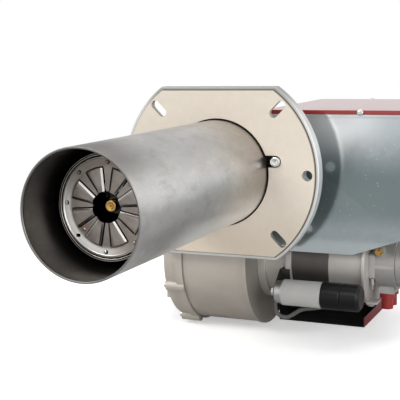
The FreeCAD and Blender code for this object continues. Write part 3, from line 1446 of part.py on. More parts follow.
def make_intake():
    body = new_body("intake_box", (0, 0, -fan_drop))
    right = -(cover_left + S.seat_play)

    def shell(grow):
        def draw(outline):
            points = [(right, S.intake_front + grow), (-S.intake_nose + grow, S.intake_front + grow),
                      (-S.intake_reach + grow, S.intake_bend + grow), (-S.intake_reach + grow, S.intake_back),
                      (right, S.intake_back)]
            outline.loop(points)
        return draw
    half = S.intake_half_height
    extrude(body, "XY", -half, half, shell(sized(0)))
    wall = S.intake_wall

    def cavity(outline):
        points = [(right - wall, S.intake_front + wall), (-S.intake_nose + wall, S.intake_front + wall),
                  (-S.intake_reach + wall, S.intake_bend + wall), (-S.intake_reach + wall, S.intake_back),
                  (right - wall, S.intake_back)]
        outline.loop(points)
    extrude(body, "XY", wall - half, half - wall, cavity, cut=True)
    inlet = circles([(S.fan_back, 0)], S.eye_radius)
    extrude(body, "YZ", right - wall, right, inlet, cut=True)
    pivot = circles([(damper_x, S.flap_place)], S.pivot_radius + S.running_play)
    extrude(body, "XY", -half, half, pivot, cut=True)
    grille = new_body("intake_grille", (0, 0, -fan_drop))
    low = (-S.intake_reach + wall + 0.3, wall + 0.3 - half)
    high = (right - wall - 0.3, half - wall - 0.3)
    start = S.intake_back - 3
    extrude(grille, "XZ", start, start + 1.5, boxes((low, high)))
    slot_step = (high[1] - low[1] - 8) / 9
    slots = []
    for step in range(9):
        bottom = low[1] + 4 + slot_step * step + 3
        slots.append(((low[0] + 5, bottom), (high[0] - 5, bottom + slot_step - 4)))
    extrude(grille, "XZ", start, start + 1.5, boxes(*slots), cut=True)


def make_damper():
    flap = new_body("damper_flap", (damper_x, S.flap_place, -fan_drop))
    wall = S.intake_wall
    half_width = (S.intake_reach - cover_left) / 2 - wall - S.flap_play
    half_height = S.intake_half_height - wall - S.flap_play
    extrude(flap, "XZ", -S.flap_thick / 2, S.flap_thick / 2,
            boxes(((-half_width, -half_height), (half_width, half_height))))
    shaft = circles([(0, 0)], S.pivot_radius)
    extrude(flap, "XY", -S.intake_half_height - 3, S.intake_half_height + 9, shaft)
    level = S.intake_half_height + 4

    def arm(outline):
        reach = -S.lever_length
        outline.loop([(-5, 0), (-3.5, reach), (3.5, reach), (5, 0)],
                     {1: ((0, reach), "left"), 3: ((0, 0), "left")})
    extrude(flap, "XY", level, level + 3, arm)
    scale = new_body("damper_scale", (damper_x, S.flap_place, -fan_drop))
    plate_level = S.intake_half_height + 0.15

    def quadrant(outline):
        outline.sector(S.lever_length - 9, S.lever_length + 5, 190, 275)
    extrude(scale, "XY", plate_level, plate_level + 3, quadrant)


# Slide bushes

def make_bushes():
    body = new_body("slide_bushes")
    for start, end in EARS:
        extrude(body, "XZ", start, end, circles(BAR_PLACES, bush_radius))
        bore = circles(BAR_PLACES, S.bar_radius + S.running_play)
        extrude(body, "XZ", start, end, bore, cut=True)
    return body


# Pipe and lead

def make_pipe_and_lead():
    start_x = pump_plate_right + S.pump_ear_width + 12
    top = S.pump_body_radius + 15.5 - fan_drop
    port = plate_back + S.gland_length - 9
    pipe = [(start_x, S.fan_back + 12, top), (start_x, S.fan_back + 12, top + 7),
            (start_x, port, top + 7), (0, port, top + 7), (0, port, -S.gland_radius - S.rest_gap)]
    tube_along("delivery_pipe", pipe, S.pipe_radius, 6.5)
    exit_turn = 223.3
    exit_out = ring_point(S.neck_radius + S.rest_gap, exit_turn, (S.fan_back, -fan_drop))
    exit_far = ring_point(S.neck_radius + 18, exit_turn, (S.fan_back, -fan_drop))
    low = -(fan_drop + 89)
    lead = [(53, exit_out[0], exit_out[1]), (53, exit_far[0], exit_far[1]), (53, 73, low),
            (88, 84, low + 23), (128, 110, low + 25), (122, 186, low + 26), (112, 221, low + 70),
            (112, 221, -S.box_floor - 0.3)]
    tube_along("motor_lead", lead, S.lead_radius, 14.0)


make_flange()
make_gasket()
make_blast_tube()
make_tube_screws()
make_slide_bars()
make_bar_screws()
make_disc()
make_disc_rivets()
make_shroud()
make_spider()
make_nozzle()
make_nozzle_holder()
make_nozzle_line()
make_insulators()
make_electrode_rods()
make_electrode_clamp()
make_cast_body()
make_fan_cover()
make_body_screws()
make_inlet_cone()
make_fan_wheel()
make_motor_neck()
make_stator()
make_end_bell()
make_shaft()
make_coupling()
make_capacitor()
make_bracket()
make_pump()
make_pump_fittings()
make_solenoid()
make_box()
make_lid()
make_lid_screws()
make_control_box()
make_transformer()
make_glands()
make_rear_plate()
make_photocell()
make_intake()
make_damper()
make_bushes()
make_pipe_and_lead()

doc.recompute()

# Checks before anything is written
failed = [item.Name for item in doc.Objects if "Invalid" in item.State or "Error" in item.State]
if failed:
    raise RuntimeError(f"These objects failed: {failed}")
for feature in CUTS:
    if feature.Shape.Volume > feature.BaseFeature.Shape.Volume - 0.01:
        raise RuntimeError(f"{feature.Name} cuts nothing")
for node in NODES:
    if node.Shape.isNull() or not node.Shape.isValid() or not node.Shape.Solids:
        raise RuntimeError(f"{node.Label} has no valid solid")

os.makedirs("parts", exist_ok=True)
for node in NODES:
    node.Shape.exportStep(f"parts/{node.Label}.step")
print(len(NODES), "nodes written")
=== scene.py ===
# %% [markdown]
# # An oil burner in a plain studio
# The burner comes from its CAD model as a fixed frame: every node is already where it belongs, in metres,
# and rides on its own moving body. This notebook sets up the camera and the soft light, and then gives the
# nodes the edges, repeats and finishes that plain solids lack. Nothing here changes a size of the real thing.

import json
import math

import bmesh
import bpy
from mathutils import Matrix, Vector


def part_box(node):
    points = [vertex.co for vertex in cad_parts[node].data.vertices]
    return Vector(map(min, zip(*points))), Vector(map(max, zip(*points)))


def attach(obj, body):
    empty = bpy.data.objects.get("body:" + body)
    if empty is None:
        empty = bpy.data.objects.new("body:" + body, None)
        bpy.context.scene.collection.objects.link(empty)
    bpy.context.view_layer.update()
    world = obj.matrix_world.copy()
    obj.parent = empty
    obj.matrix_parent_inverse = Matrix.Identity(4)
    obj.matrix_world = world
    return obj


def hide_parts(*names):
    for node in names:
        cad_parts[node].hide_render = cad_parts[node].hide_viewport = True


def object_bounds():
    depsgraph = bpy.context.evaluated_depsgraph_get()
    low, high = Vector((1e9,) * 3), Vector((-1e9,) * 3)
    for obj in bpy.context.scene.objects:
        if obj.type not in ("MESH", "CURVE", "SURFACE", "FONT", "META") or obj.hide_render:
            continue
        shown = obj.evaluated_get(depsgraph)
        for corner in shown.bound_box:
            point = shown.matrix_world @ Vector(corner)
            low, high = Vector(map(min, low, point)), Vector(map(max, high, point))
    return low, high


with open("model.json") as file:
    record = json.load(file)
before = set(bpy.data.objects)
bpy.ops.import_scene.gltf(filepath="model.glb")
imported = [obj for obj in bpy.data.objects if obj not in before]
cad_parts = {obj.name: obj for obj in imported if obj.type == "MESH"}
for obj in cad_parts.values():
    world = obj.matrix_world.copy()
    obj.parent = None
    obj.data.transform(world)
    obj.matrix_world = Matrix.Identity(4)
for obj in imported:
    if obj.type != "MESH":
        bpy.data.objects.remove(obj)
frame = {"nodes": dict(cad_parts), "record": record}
NODES = frame["nodes"]
RECORD = frame["record"]
SLOT_OF = {part["node"]: part["material_slot"] for part in RECORD["subparts"]}
BODY_OF = {node: body for body, members in RECORD["behaviour"]["bodies"].items() for node in members}
cad_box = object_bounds()
MM = 0.001


class Box:
    """The box of a CAD node at rest, in millimetres."""

    def __init__(self, node):
        low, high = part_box(node)
        self.left, self.front, self.bottom = (value / MM for value in low)
        self.right, self.back, self.top = (value / MM for value in high)
        self.half_height = (self.top - self.bottom) / 2
        self.axis_point = (0, (self.front + self.back) / 2, (self.bottom + self.top) / 2)


# %% [markdown]
# ## Camera
# The photograph was taken from the front right and a little above, with a long lens. A camera is placed by
# the direction it looks along, and its roll turns it about that direction. The lens was found by fitting
# both ends of the blast tube and the outline of the flange, so the frame matches the photograph's.

# %% Place the camera
PICTURE = 400
SENSOR = 36
FOCAL_PIXELS = 996.33
CAMERA_PLACE = Vector((0.5156, -1.2034, 0.1650))
AZIMUTH, ELEVATION, ROLL = 24.231, 8.725, -1.13


def look_along(azimuth, elevation, roll):
    """Right, up and forward of a camera that looks along +Y when all three angles are 0."""
    a, e, r = map(math.radians, (azimuth, elevation, roll))
    forward = Vector((-math.sin(a) * math.cos(e), math.cos(a) * math.cos(e), -math.sin(e)))
    level = Vector((math.cos(a), math.sin(a), 0))
    above = level.cross(forward)
    right = level * math.cos(r) + above * math.sin(r)
    return right, right.cross(forward), forward


camera_data = bpy.data.cameras.new("studio_camera")
camera_data.sensor_fit = "HORIZONTAL"
camera_data.sensor_width = SENSOR
camera_data.lens = SENSOR * FOCAL_PIXELS / PICTURE
camera_data.clip_start, camera_data.clip_end = 0.05, 60
camera = bpy.data.objects.new("studio_camera", camera_data)
bpy.context.collection.objects.link(camera)
right, up, forward = look_along(AZIMUTH, ELEVATION, ROLL)
axes = Matrix((right, up, -forward)).transposed()
camera.matrix_world = Matrix.Translation(CAMERA_PLACE) @ axes.to_4x4()
bpy.context.scene.camera = camera
print(f"lens {camera_data.lens:.1f} mm")

# %% [markdown]
# ## Nodes written as arithmetic
# A finish is a small graph of nodes. Written as Python it reads like arithmetic: `Signal` wraps one output
# socket, and adding, multiplying or dividing signals makes the Math nodes. `Bench` makes every other node
# with one method. The same two classes serve materials and, further down, Geometry Nodes trees.

# %% Signals
class Signal:
    """One value or colour on its way through the nodes."""

    def __init__(self, bench, socket):
        self.bench = bench
        self.socket = socket

    def math(self, operation, other, swapped=False):
        first, second = (other, self) if swapped else (self, other)
        return self.bench.node("ShaderNodeMath", {"operation": operation}, {0: first, 1: second})

    def capped(self):
        """The value, but no more than 1."""
        return self.math("MINIMUM", 1.0)

    def __abs__(self):
        return self.math("ABSOLUTE", 0.0)

    def __add__(self, other):
        return self.math("ADD", other)

    __radd__ = __add__

    def __sub__(self, other):
        return self.math("SUBTRACT", other)

    def __rsub__(self, other):
        return self.math("SUBTRACT", other, swapped=True)

    def __mul__(self, other):
        return self.math("MULTIPLY", other)

    __rmul__ = __mul__

    def __truediv__(self, other):
        return self.math("DIVIDE", other)

    def __rtruediv__(self, other):
        return self.math("DIVIDE", other, swapped=True)

    def __pow__(self, other):
        return self.math("POWER", other)


def reach(first, second):
    """The distance from an axis that both coordinates are measured from."""
    return (first * first + second * second) ** 0.5


print("signals add, multiply and divide")


# %% [markdown]
# ## One method for every node
# A node has settings, which have to be set first, and sockets, which take a value or a link. `Bench.node`
# does both, so every other method is one line that names a node. The short ones below are the words of this
# notebook: a soft ramp, a hard step, a mix of two colours, a stretch of the pattern.

# %% Benches
class Bench:
    """Makes nodes in one tree."""

    def __init__(self, tree):
        self.tree = tree
        tree.nodes.clear()

    def node(self, kind, settings=None, sockets=None, out=0):
        """A node of one kind: its settings come first, then the values or signals of its sockets."""
        made = self.tree.nodes.new(kind)
        for name, value in (settings or {}).items():
            setattr(made, name, value)
        for name, value in (sockets or {}).items():
            if isinstance(value, Signal):
                self.tree.links.new(value.socket, made.inputs[name])
            else:
                made.inputs[name].default_value = value
        return Signal(self, made.outputs[out]) if made.outputs else None

    def place(self):
        """The point on the object's surface, in metres."""
        return self.node("ShaderNodeTexCoord", out="Object")

    def parts(self, vector):
        split = self.node("ShaderNodeSeparateXYZ", sockets={0: vector}).socket.node
        return [Signal(self, socket) for socket in split.outputs]

    def facing(self):
        """The three parts of the direction in which the surface looks."""
        return self.parts(self.node("ShaderNodeNewGeometry", out="True Normal"))

    def vector(self, x, y, z):
        return self.node("ShaderNodeCombineXYZ", sockets={0: x, 1: y, 2: z})

    def stretch(self, vector, scale):
        return self.node("ShaderNodeVectorMath", {"operation": "MULTIPLY"}, {0: vector, 1: scale})

    def noise(self, place, scale, detail=3.0, roughness=0.55):
        sockets = {"Vector": place, "Scale": scale, "Detail": detail, "Roughness": roughness}
        return self.node("ShaderNodeTexNoise", sockets=sockets)

    def grains(self, place, scale, out="Distance"):
        return self.node("ShaderNodeTexVoronoi", sockets={"Vector": place, "Scale": scale}, out=out)

    def smooth(self, value, low, high, start=0.0, end=1.0):
        """From start where the value is low to end where it is high, with soft ends."""
        sockets = {"Value": value, "From Min": low, "From Max": high, "To Min": start, "To Max": end}
        return self.node("ShaderNodeMapRange", {"interpolation_type": "SMOOTHSTEP"}, sockets)

    def step(self, value, level):
        """1 where the value lies above the level, 0 below it."""
        return self.node("ShaderNodeMath", {"operation": "GREATER_THAN"}, {0: value, 1: level})

    def mix(self, factor, first, second):
        return self.node("ShaderNodeMix", {"data_type": "RGBA"}, {0: factor, 6: first, 7: second}, out=2)

    def edges(self, low=0.52, high=0.60):
        """1 on rounded outer edges, which handling polishes first."""
        return self.smooth(self.node("ShaderNodeNewGeometry", out="Pointiness"), low, high)

    def bump(self, height, depth, strength):
        sockets = {"Height": height, "Distance": depth, "Strength": strength}
        return self.node("ShaderNodeBump", sockets=sockets)


print(f"a bench has {len([name for name in vars(Bench) if name[0] != '_'])} methods")


# %% [markdown]
# ## Materials and their colours
# A finish is a bench whose tree is a material. It ends in one Principled shader, and what it makes is kept
# under its name. A colour is written as a screen shows it, from 0 to 255, and `tone` undoes the screen's
# curve, because shaders reckon in plain light.

# %% Finishes and tones
class Finish(Bench):
    """The nodes of one material, which end in a Principled shader."""

    made = {}

    def __init__(self, name):
        self.material = bpy.data.materials.new(name)
        self.material.use_nodes = True
        super().__init__(self.material.node_tree)
        Finish.made[name] = self.material

    def surface(self, **sockets):
        named = {name.replace("_", " "): value for name, value in sockets.items()}
        shader = self.node("ShaderNodeBsdfPrincipled", sockets=named)
        self.node("ShaderNodeOutputMaterial", sockets={"Surface": shader})
        print(f"{self.material.name}: {len(self.tree.nodes)} nodes")


def tone(red, green, blue):
    """A colour read from 0 to 255 as a screen shows it, as the shaders need it."""
    levels = [value / 255 for value in (red, green, blue)]
    return tuple(v / 12.92 if v <= 0.04045 else ((v + 0.055) / 1.055) ** 2.4 for v in levels) + (1.0,)


def scaled(colour, factor, lift=0.0):
    """A colour made lighter or darker, and never above white."""
    return tuple(min(1.0, lift + factor * value) for value in colour[:3]) + (1.0,)


print("a screen's middle grey is", round(tone(128, 128, 128)[0], 3), "to the shaders")

# %% [markdown]
# ## Light and room
# Metal shows what stands round it, so the room matters as much as the lamps. The world is white to the
# camera. What polished metal sees is bright paper on the right and behind the camera, greyer paper on the
# left and above, and a dark studio floor below. Three large area lamps give the plain soft light.

# %% World
WHITE = (1, 1, 1, 1)
world = bpy.data.worlds.new("studio")
world.use_nodes = True
bpy.context.scene.world = world
room = Bench(world.node_tree)
sideways, depth, height = room.parts(room.node("ShaderNodeTexCoord", out="Generated"))
seen = room.node("ShaderNodeLightPath", out="Is Camera Ray")
through = room.node("ShaderNodeLightPath", out="Is Transmission Ray")
mirrored = room.node("ShaderNodeLightPath", out="Is Glossy Ray")
panel = room.smooth(sideways, -0.10, 0.42, 0.74, 1.12) + room.smooth(depth, -0.70, -0.88, 0.0, 0.34)
paper = panel * room.smooth(height, 0.10, 0.85, 1.0, 0.66) * room.smooth(height, -0.125, -0.070, 0.40, 1.0)
mirror_light = room.node("ShaderNodeBackground", sockets={"Color": WHITE, "Strength": paper})
soft_light = room.node("ShaderNodeBackground", sockets={"Color": (0.98, 0.99, 1.0, 1), "Strength": 0.50})
white_light = room.node("ShaderNodeBackground", sockets={"Color": WHITE, "Strength": 1.0})
inner = room.node("ShaderNodeMixShader", sockets={0: mirrored, 1: soft_light, 2: mirror_light})
outer = room.node("ShaderNodeMixShader", sockets={0: seen.math("MAXIMUM", through), 1: inner, 2: white_light})
room.node("ShaderNodeOutputWorld", sockets={"Surface": outer})
print(f"world of {len(room.tree.nodes)} nodes")


# %% [markdown]
# ## Lamps
# A large lamp gives soft shadows, and a rectangle shows in metal as a window does. The key lamp stands at
# the front left, the fill lamp at the right, and the third lights the top from behind. All three look at
# the middle of the burner.

# %% Three area lamps
def add_lamp(name, place, size, power, colour=(1, 1, 1)):
    """A rectangular lamp at a place, turned towards the burner."""
    data = bpy.data.lights.new(name, "AREA")
    data.shape = "RECTANGLE"
    data.size, data.size_y = size
    data.energy = power
    data.color = colour
    lamp = bpy.data.objects.new(name, data)
    bpy.context.collection.objects.link(lamp)
    lamp.location = place
    lamp.rotation_mode = "QUATERNION"
    lamp.rotation_quaternion = (AIM - Vector(place)).to_track_quat("-Z", "Y")
    print(f"{name}: {power} W")


AIM = Vector((0.05, 0.0, -0.05))
add_lamp("key_lamp", (-1.3, -2.0, 1.7), (1.6, 1.2), 43, (1.0, 0.99, 0.97))
add_lamp("fill_lamp", (2.2, -1.3, 0.7), (1.4, 1.6), 31, (0.98, 0.99, 1.0))
add_lamp("top_lamp", (0.3, 0.6, 2.2), (2.0, 1.6), 24)

# %% [markdown]
# ## Floor
# The floor is a sheet of paper that keeps the burner's soft shadow. The camera sees it lit, with a little
# glow so that it comes out as white as the backdrop, and away from the burner it fades into plain white.
# The horizon is gone then, as in a photograph with its background cut out. Polished metal mirrors greyer
# paper, so that undersides stay as dark as they are in the photograph.

# %% Paper floor
FLOOR_LEVEL = cad_box[0].z - 0.2 * MM
FLOOR_REACH = 2
floor_mesh = bpy.data.meshes.new("studio_floor")
FLOOR_SIGNS = ((-1, -1), (1, -1), (1, 1), (-1, 1))
floor_corners = [(x * FLOOR_REACH, y * FLOOR_REACH, FLOOR_LEVEL) for x, y in FLOOR_SIGNS]
floor_mesh.from_pydata(floor_corners, [], [(0, 1, 2, 3)])
floor = bpy.data.objects.new("studio_floor", floor_mesh)
bpy.context.collection.objects.link(floor)
sheet = Finish("paper_floor")
across, along, _ = sheet.parts(sheet.place())
far = sheet.smooth(reach(across, along), 0.42, 0.95)
fibres = sheet.noise(sheet.place(), 220.0)
lit_paper = sheet.node("ShaderNodeBsdfPrincipled", sockets={
    "Base Color": (0.86, 0.86, 0.86, 1), "Roughness": 0.85 + 0.1 * fibres, "Specular IOR Level": 0.1})
grey_paper = sheet.node("ShaderNodeBsdfDiffuse", sockets={"Color": (0.50, 0.50, 0.50, 1)})
glow = sheet.node("ShaderNodeEmission", sockets={"Color": WHITE, "Strength": 0.42})
near_paper = sheet.node("ShaderNodeAddShader", sockets={0: lit_paper, 1: glow})
white_paper = sheet.node("ShaderNodeEmission", sockets={"Color": WHITE, "Strength": 1.0})
shown = sheet.node("ShaderNodeMixShader", sockets={0: far, 1: near_paper, 2: white_paper})
gloss = sheet.node("ShaderNodeLightPath", out="Is Glossy Ray")
bounced = sheet.node("ShaderNodeMixShader", sockets={0: gloss, 1: lit_paper, 2: grey_paper})
ray = sheet.node("ShaderNodeLightPath", out="Is Camera Ray")
final = sheet.node("ShaderNodeMixShader", sockets={0: ray, 1: bounced, 2: shown})
sheet.node("ShaderNodeOutputMaterial", sockets={"Surface": final})
floor_mesh.materials.append(sheet.material)
print(f"floor at {FLOOR_LEVEL:.4f} m")

# %% [markdown]
# ## Finish of the blast tube
# The tube is bare rolled steel. The mill leaves fine lines round it, handling leaves clouds and scuffs, and
# the inside is sooty. Light is painted in too: painted shade on the top near the mouth and deeper inside,
# the gasket's painted reflection near the root, and painted reflected light on the underside. A pattern
# that should run round a cylinder needs its own coordinates: the angle comes from the arc tangent of the
# place, and it is multiplied by the radius so that it is a length again. Each pair of places below says
# where a stain or a painted light starts and where it is full, in metres.

# %% Rolled steel
TUBE_RADIUS = 0.07
INNER_WALL = (0.0694, 0.0690)
GASKET_REFLECTION_ROOT = (-0.11, 0.005)
SHADED_TOP_LENGTH, SHADED_TOP_HEIGHT = (-0.25, -0.345), (0.030, 0.062)
LIT_UNDERSIDE_LENGTH, LIT_UNDERSIDE_HEIGHT = (-0.30, -0.18), (-0.012, -0.050)
SHADED_DEPTH = (-0.345, -0.300)
CUT_MOUTH = (-0.3538, -0.3543)
bench = Finish("rolled_steel")
x, y, z = bench.parts(bench.place())
radius = reach(x, z)
unrolled = bench.vector(z.math("ARCTAN2", x) * TUBE_RADIUS, y, radius)
mill = bench.noise(bench.stretch(unrolled, (90.0, 900.0, 90.0)), 1.0, 4.0, 0.6)
drawn = bench.noise(bench.stretch(unrolled, (620.0, 26.0, 620.0)), 1.0, 3.0, 0.6)
cloud = bench.noise(bench.stretch(unrolled, (20.0, 11.0, 20.0)), 1.0, 5.0, 0.62)
blot = bench.noise(bench.stretch(unrolled, (62.0, 34.0, 62.0)), 1.0, 5.0, 0.68)
outer_steel = bench.mix(bench.smooth(cloud, 0.30, 0.72), tone(190, 188, 185), tone(206, 205, 203))
outer_steel = bench.mix(bench.smooth(drawn, 0.52, 0.80) * 0.35, outer_steel, tone(172, 168, 163))
# painted reflection: the gasket's brown is painted into the steel near the root
outer_steel = bench.mix(bench.smooth(y, *GASKET_REFLECTION_ROOT) * 0.52, outer_steel, tone(164, 155, 147))
outer_steel = bench.mix(bench.smooth(blot, 0.50, 0.68) * 0.30, outer_steel, tone(150, 147, 143))
outer_steel = bench.mix(bench.smooth(blot, 0.44, 0.30) * 0.30, outer_steel, tone(226, 225, 224))
# painted shade: the top of the tube near the mouth is painted darker
shaded_top = bench.smooth(y, *SHADED_TOP_LENGTH) * bench.smooth(z, *SHADED_TOP_HEIGHT)
outer_steel = bench.mix(shaded_top * 0.75, outer_steel, tone(104, 99, 95))
# painted reflected light: the underside near the root is painted pale, and made less metallic so it shows
lit_underside = bench.smooth(y, *LIT_UNDERSIDE_LENGTH) * bench.smooth(z, *LIT_UNDERSIDE_HEIGHT)
outer_steel = bench.mix(lit_underside * 0.8, outer_steel, tone(228, 225, 220))
soot_and_depth_shade = bench.mix(bench.smooth(cloud, 0.35, 0.65), tone(112, 109, 105), tone(136, 133, 129))
# painted shade: the sooty inside is painted darker deeper in
soot_and_depth_shade = bench.mix(bench.smooth(y, *SHADED_DEPTH) * 0.6, soot_and_depth_shade, tone(52, 49, 45))
inside = bench.smooth(radius, *INNER_WALL)
colour = bench.mix(inside, outer_steel, soot_and_depth_shade)
colour = bench.mix(bench.smooth(y, *CUT_MOUTH) * 0.7, colour, tone(124, 122, 119))
rough = 0.21 + 0.08 * cloud + 0.10 * blot + 0.05 * mill + 0.05 * drawn + 0.06 * inside
bench.surface(Base_Color=colour, Roughness=rough, Metallic=1 - 0.5 * lit_underside,
              Normal=bench.bump(mill * 0.6 + drawn * 0.5 + cloud, 0.00003, 0.5))

# %% [markdown]
# ## Finish of the gasket
# The gasket is pressed fibre board, dry and pale. It needs almost no colour variation, only a fine felt of
# fibres, so most of its look is in the bump. Painted shade darkens its lower part below the tube, and a
# painted shadow line follows its edge where it meets the flange: where the distance from the axis, or the
# height at the two flats, comes near the edge, the colour turns brown.

# %% Fibre board
CUT_ROUND, CUT_FLAT = (0.1336, 0.1342), (0.1080, 0.1086)
SHADED_BOTTOM = (-0.030, -0.105)
bench = Finish("fibre_gasket")
place = bench.place()
x, y, z = bench.parts(place)
fibre = bench.noise(bench.stretch(place, (700.0, 700.0, 1900.0)), 1.0, 3.0, 0.7)
pulp = bench.noise(place, 90.0, 3.0, 0.6)
colour = bench.mix(bench.smooth(pulp, 0.25, 0.78), tone(210, 200, 187), tone(214, 205, 192))
colour = bench.mix(bench.smooth(fibre, 0.60, 0.80) * 0.18, colour, tone(186, 174, 158))
# painted shade: the gasket's lower part below the tube is darkened
colour = bench.mix(bench.smooth(z, *SHADED_BOTTOM) * 0.35, colour, tone(184, 164, 138))
# painted shadow: a brown line along the gasket's edge, where it meets the flange
edge_shadow = bench.smooth(reach(x, z), *CUT_ROUND) + bench.smooth(abs(z), *CUT_FLAT)
colour = bench.mix(edge_shadow.capped() * 0.75, colour, tone(112, 99, 87))
bench.surface(Base_Color=colour, Roughness=0.93, Specular_IOR_Level=0.25,
              Normal=bench.bump(fibre + pulp * 0.6, 0.00009, 0.6))


# %% [markdown]
# ## Finish of the castings
# A die casting has a fine grain, soft clouds of grey and edges that shine where they were rubbed. One
# function makes all four, and each takes its own greys. Shade is painted where the light can't reach:
# the flange is painted nearly black round the tube and in the recess beside the screw, and a step on the
# radius paints that. A painted shade of its own can be handed in for such places; the body's faces that
# look to the motor are painted darker too.

# %% Castings
def cast_metal(name, dark, light, polish, metallic=0.75, grain=0.00008, shade=None):
    """Sand or die casting: a fine skin of grains, cloudy colour and brighter edges."""
    bench = Finish(name)
    place = bench.place()
    skin = bench.noise(place, 1400.0, 2.0, 0.6)
    lumps = bench.noise(place, 260.0, 3.0, 0.6)
    cloud = bench.noise(place, 15.0, 3.0, 0.5)
    colour = bench.mix(bench.smooth(cloud, 0.3, 0.7), dark, light)
    colour = bench.mix(bench.smooth(lumps, 0.55, 0.8) * 0.18, colour, scaled(dark, 0.78))
    colour = bench.mix(bench.edges() * 0.45, colour, polish)
    if shade is not None:
        colour = shade(bench, colour)
    bench.surface(Base_Color=colour, Roughness=0.46 + 0.12 * cloud + 0.08 * skin, Metallic=metallic,
                  Normal=bench.bump(skin * 0.5 + lumps, grain, 0.6))


FLANGE_BORE, TUBE_INSIDE = 0.0740, 0.055
SCREW_LEVEL, RECESS_HALF, RECESS_END = 0.017, 0.0095, 0.0766
GASKET_SIDE = (0.0040, 0.0032)
TOP_RIM, LIT_RIGHT_RIM, BELOW_TOP = (0.075, 0.112), (0.090, 0.132), (0.100, 0.060)
RIM_ROUND, RIM_FLAT = (0.1357, 0.1352), (0.1099, 0.1095)


def painted_shade_round_tube(bench, colour):
    """Paints shade nearly black in the bore and recesses, a shadow line at the gasket and a lit right rim."""
    x, y, z = bench.parts(bench.place())
    radius = reach(x, z)
    bore = bench.step(FLANGE_BORE, radius)
    recess = bench.step(RECESS_HALF, abs(z - SCREW_LEVEL)) * bench.step(RECESS_END, abs(x))
    behind = bench.step(y, GASKET_SIDE[1])
    # the top rim is painted a darker grey; painted light makes the right rim below the top bright
    colour = bench.mix(bench.smooth(z, *TOP_RIM) * 0.9, colour, tone(156, 156, 155))
    colour = bench.mix(bench.smooth(x, *LIT_RIGHT_RIM) * bench.smooth(z, *BELOW_TOP), colour, tone(216, 217, 215))
    # painted shadow: a dark line on the flange along the gasket's edge
    gasket_shadow_line = bench.smooth(radius, *RIM_ROUND) * bench.smooth(abs(z), *RIM_FLAT)
    colour = bench.mix(gasket_shadow_line * bench.smooth(y, *GASKET_SIDE), colour, tone(84, 76, 68))
    # painted shade: the bore and the recess beside the screw are painted nearly black
    dark = (bore + recess).capped() * bench.step(radius, TUBE_INSIDE) * behind.math("MAXIMUM", bore)
    return bench.mix(dark, colour, tone(24, 22, 20))


def shaded_right_side(bench, colour):
    """Faces that look to the motor catch no lamp, and are painted darker as shade."""
    return bench.mix(bench.smooth(bench.facing()[0], 0.25, 0.85) * 0.45, colour, tone(118, 112, 105))


cast_metal("flange_casting", tone(192, 192, 190), tone(208, 208, 206), tone(230, 230, 228),
           shade=painted_shade_round_tube)
cast_metal("body_casting", tone(176, 169, 160), tone(191, 184, 175), tone(212, 206, 198), metallic=0.6,
           shade=shaded_right_side)
cast_metal("motor_casting", tone(184, 180, 175), tone(202, 198, 193), tone(218, 215, 210), metallic=0.7)
cast_metal("pump_casting", tone(160, 158, 155), tone(184, 182, 179), tone(210, 208, 206), grain=0.00006)


# %% [markdown]
# ## Finish of sheet, bar and turned metal
# Rolling, drawing and turning all leave fine parallel lines, so one function draws noise that is stretched
# along the direction of the tool. The edges are a little brighter, since a thumb polishes them first.

# %% Sheet, bar and turned metal
def bare_metal(name, dark, light, rough, scale, stretch=(1.0, 1.0, 1.0), metallic=1.0):
    """Metal with fine lines from rolling, turning or pressing along one direction."""
    bench = Finish(name)
    place = bench.place()
    lines = bench.noise(bench.stretch(place, stretch), scale, 3.0, 0.6)
    cloud = bench.noise(place, 30.0, 3.0, 0.6)
    colour = bench.mix(bench.smooth(cloud, 0.3, 0.7), dark, light)
    colour = bench.mix(bench.edges() * 0.5, colour, scaled(light, 1.35))
    bench.surface(Base_Color=colour, Roughness=rough + 0.12 * lines, Metallic=metallic,
                  Normal=bench.bump(lines, 0.00002, 0.5))


bare_metal("drawn_bar", tone(178, 178, 178), tone(200, 200, 200), 0.16, 900.0, (1.0, 0.05, 1.0))
bare_metal("zinc_screw", tone(206, 210, 209), tone(228, 231, 230), 0.22, 1500.0)
bare_metal("copper_metal", tone(178, 136, 120), tone(200, 158, 142), 0.24, 700.0)
bare_metal("turned_brass", tone(176, 138, 76), tone(208, 170, 104), 0.18, 1800.0)
bare_metal("dark_plate", tone(58, 56, 54), tone(74, 72, 69), 0.36, 500.0, metallic=0.7)
bare_metal("pressed_zinc", tone(160, 164, 166), tone(182, 186, 188), 0.30, 380.0)
bare_metal("can_metal", tone(186, 187, 185), tone(202, 203, 200), 0.30, 900.0, (0.05, 1.0, 1.0))
bare_metal("bronze_metal", tone(140, 104, 62), tone(164, 126, 80), 0.30, 700.0)

# %% [markdown]
# ## Finish of the diffuser disc
# The disc is heat-stained sheet. Its border gets a painted highlight at the lower left, and has gone brown
# at the top, a heat stain that also stands in for shade. The petals' pressed flanks are painted lit on one
# side and shaded on the other, the dimples get a painted highlight on the left and painted shade on the
# right, and the back of the sheet is painted dark as shade. The surface's own direction tells which side is
# which.

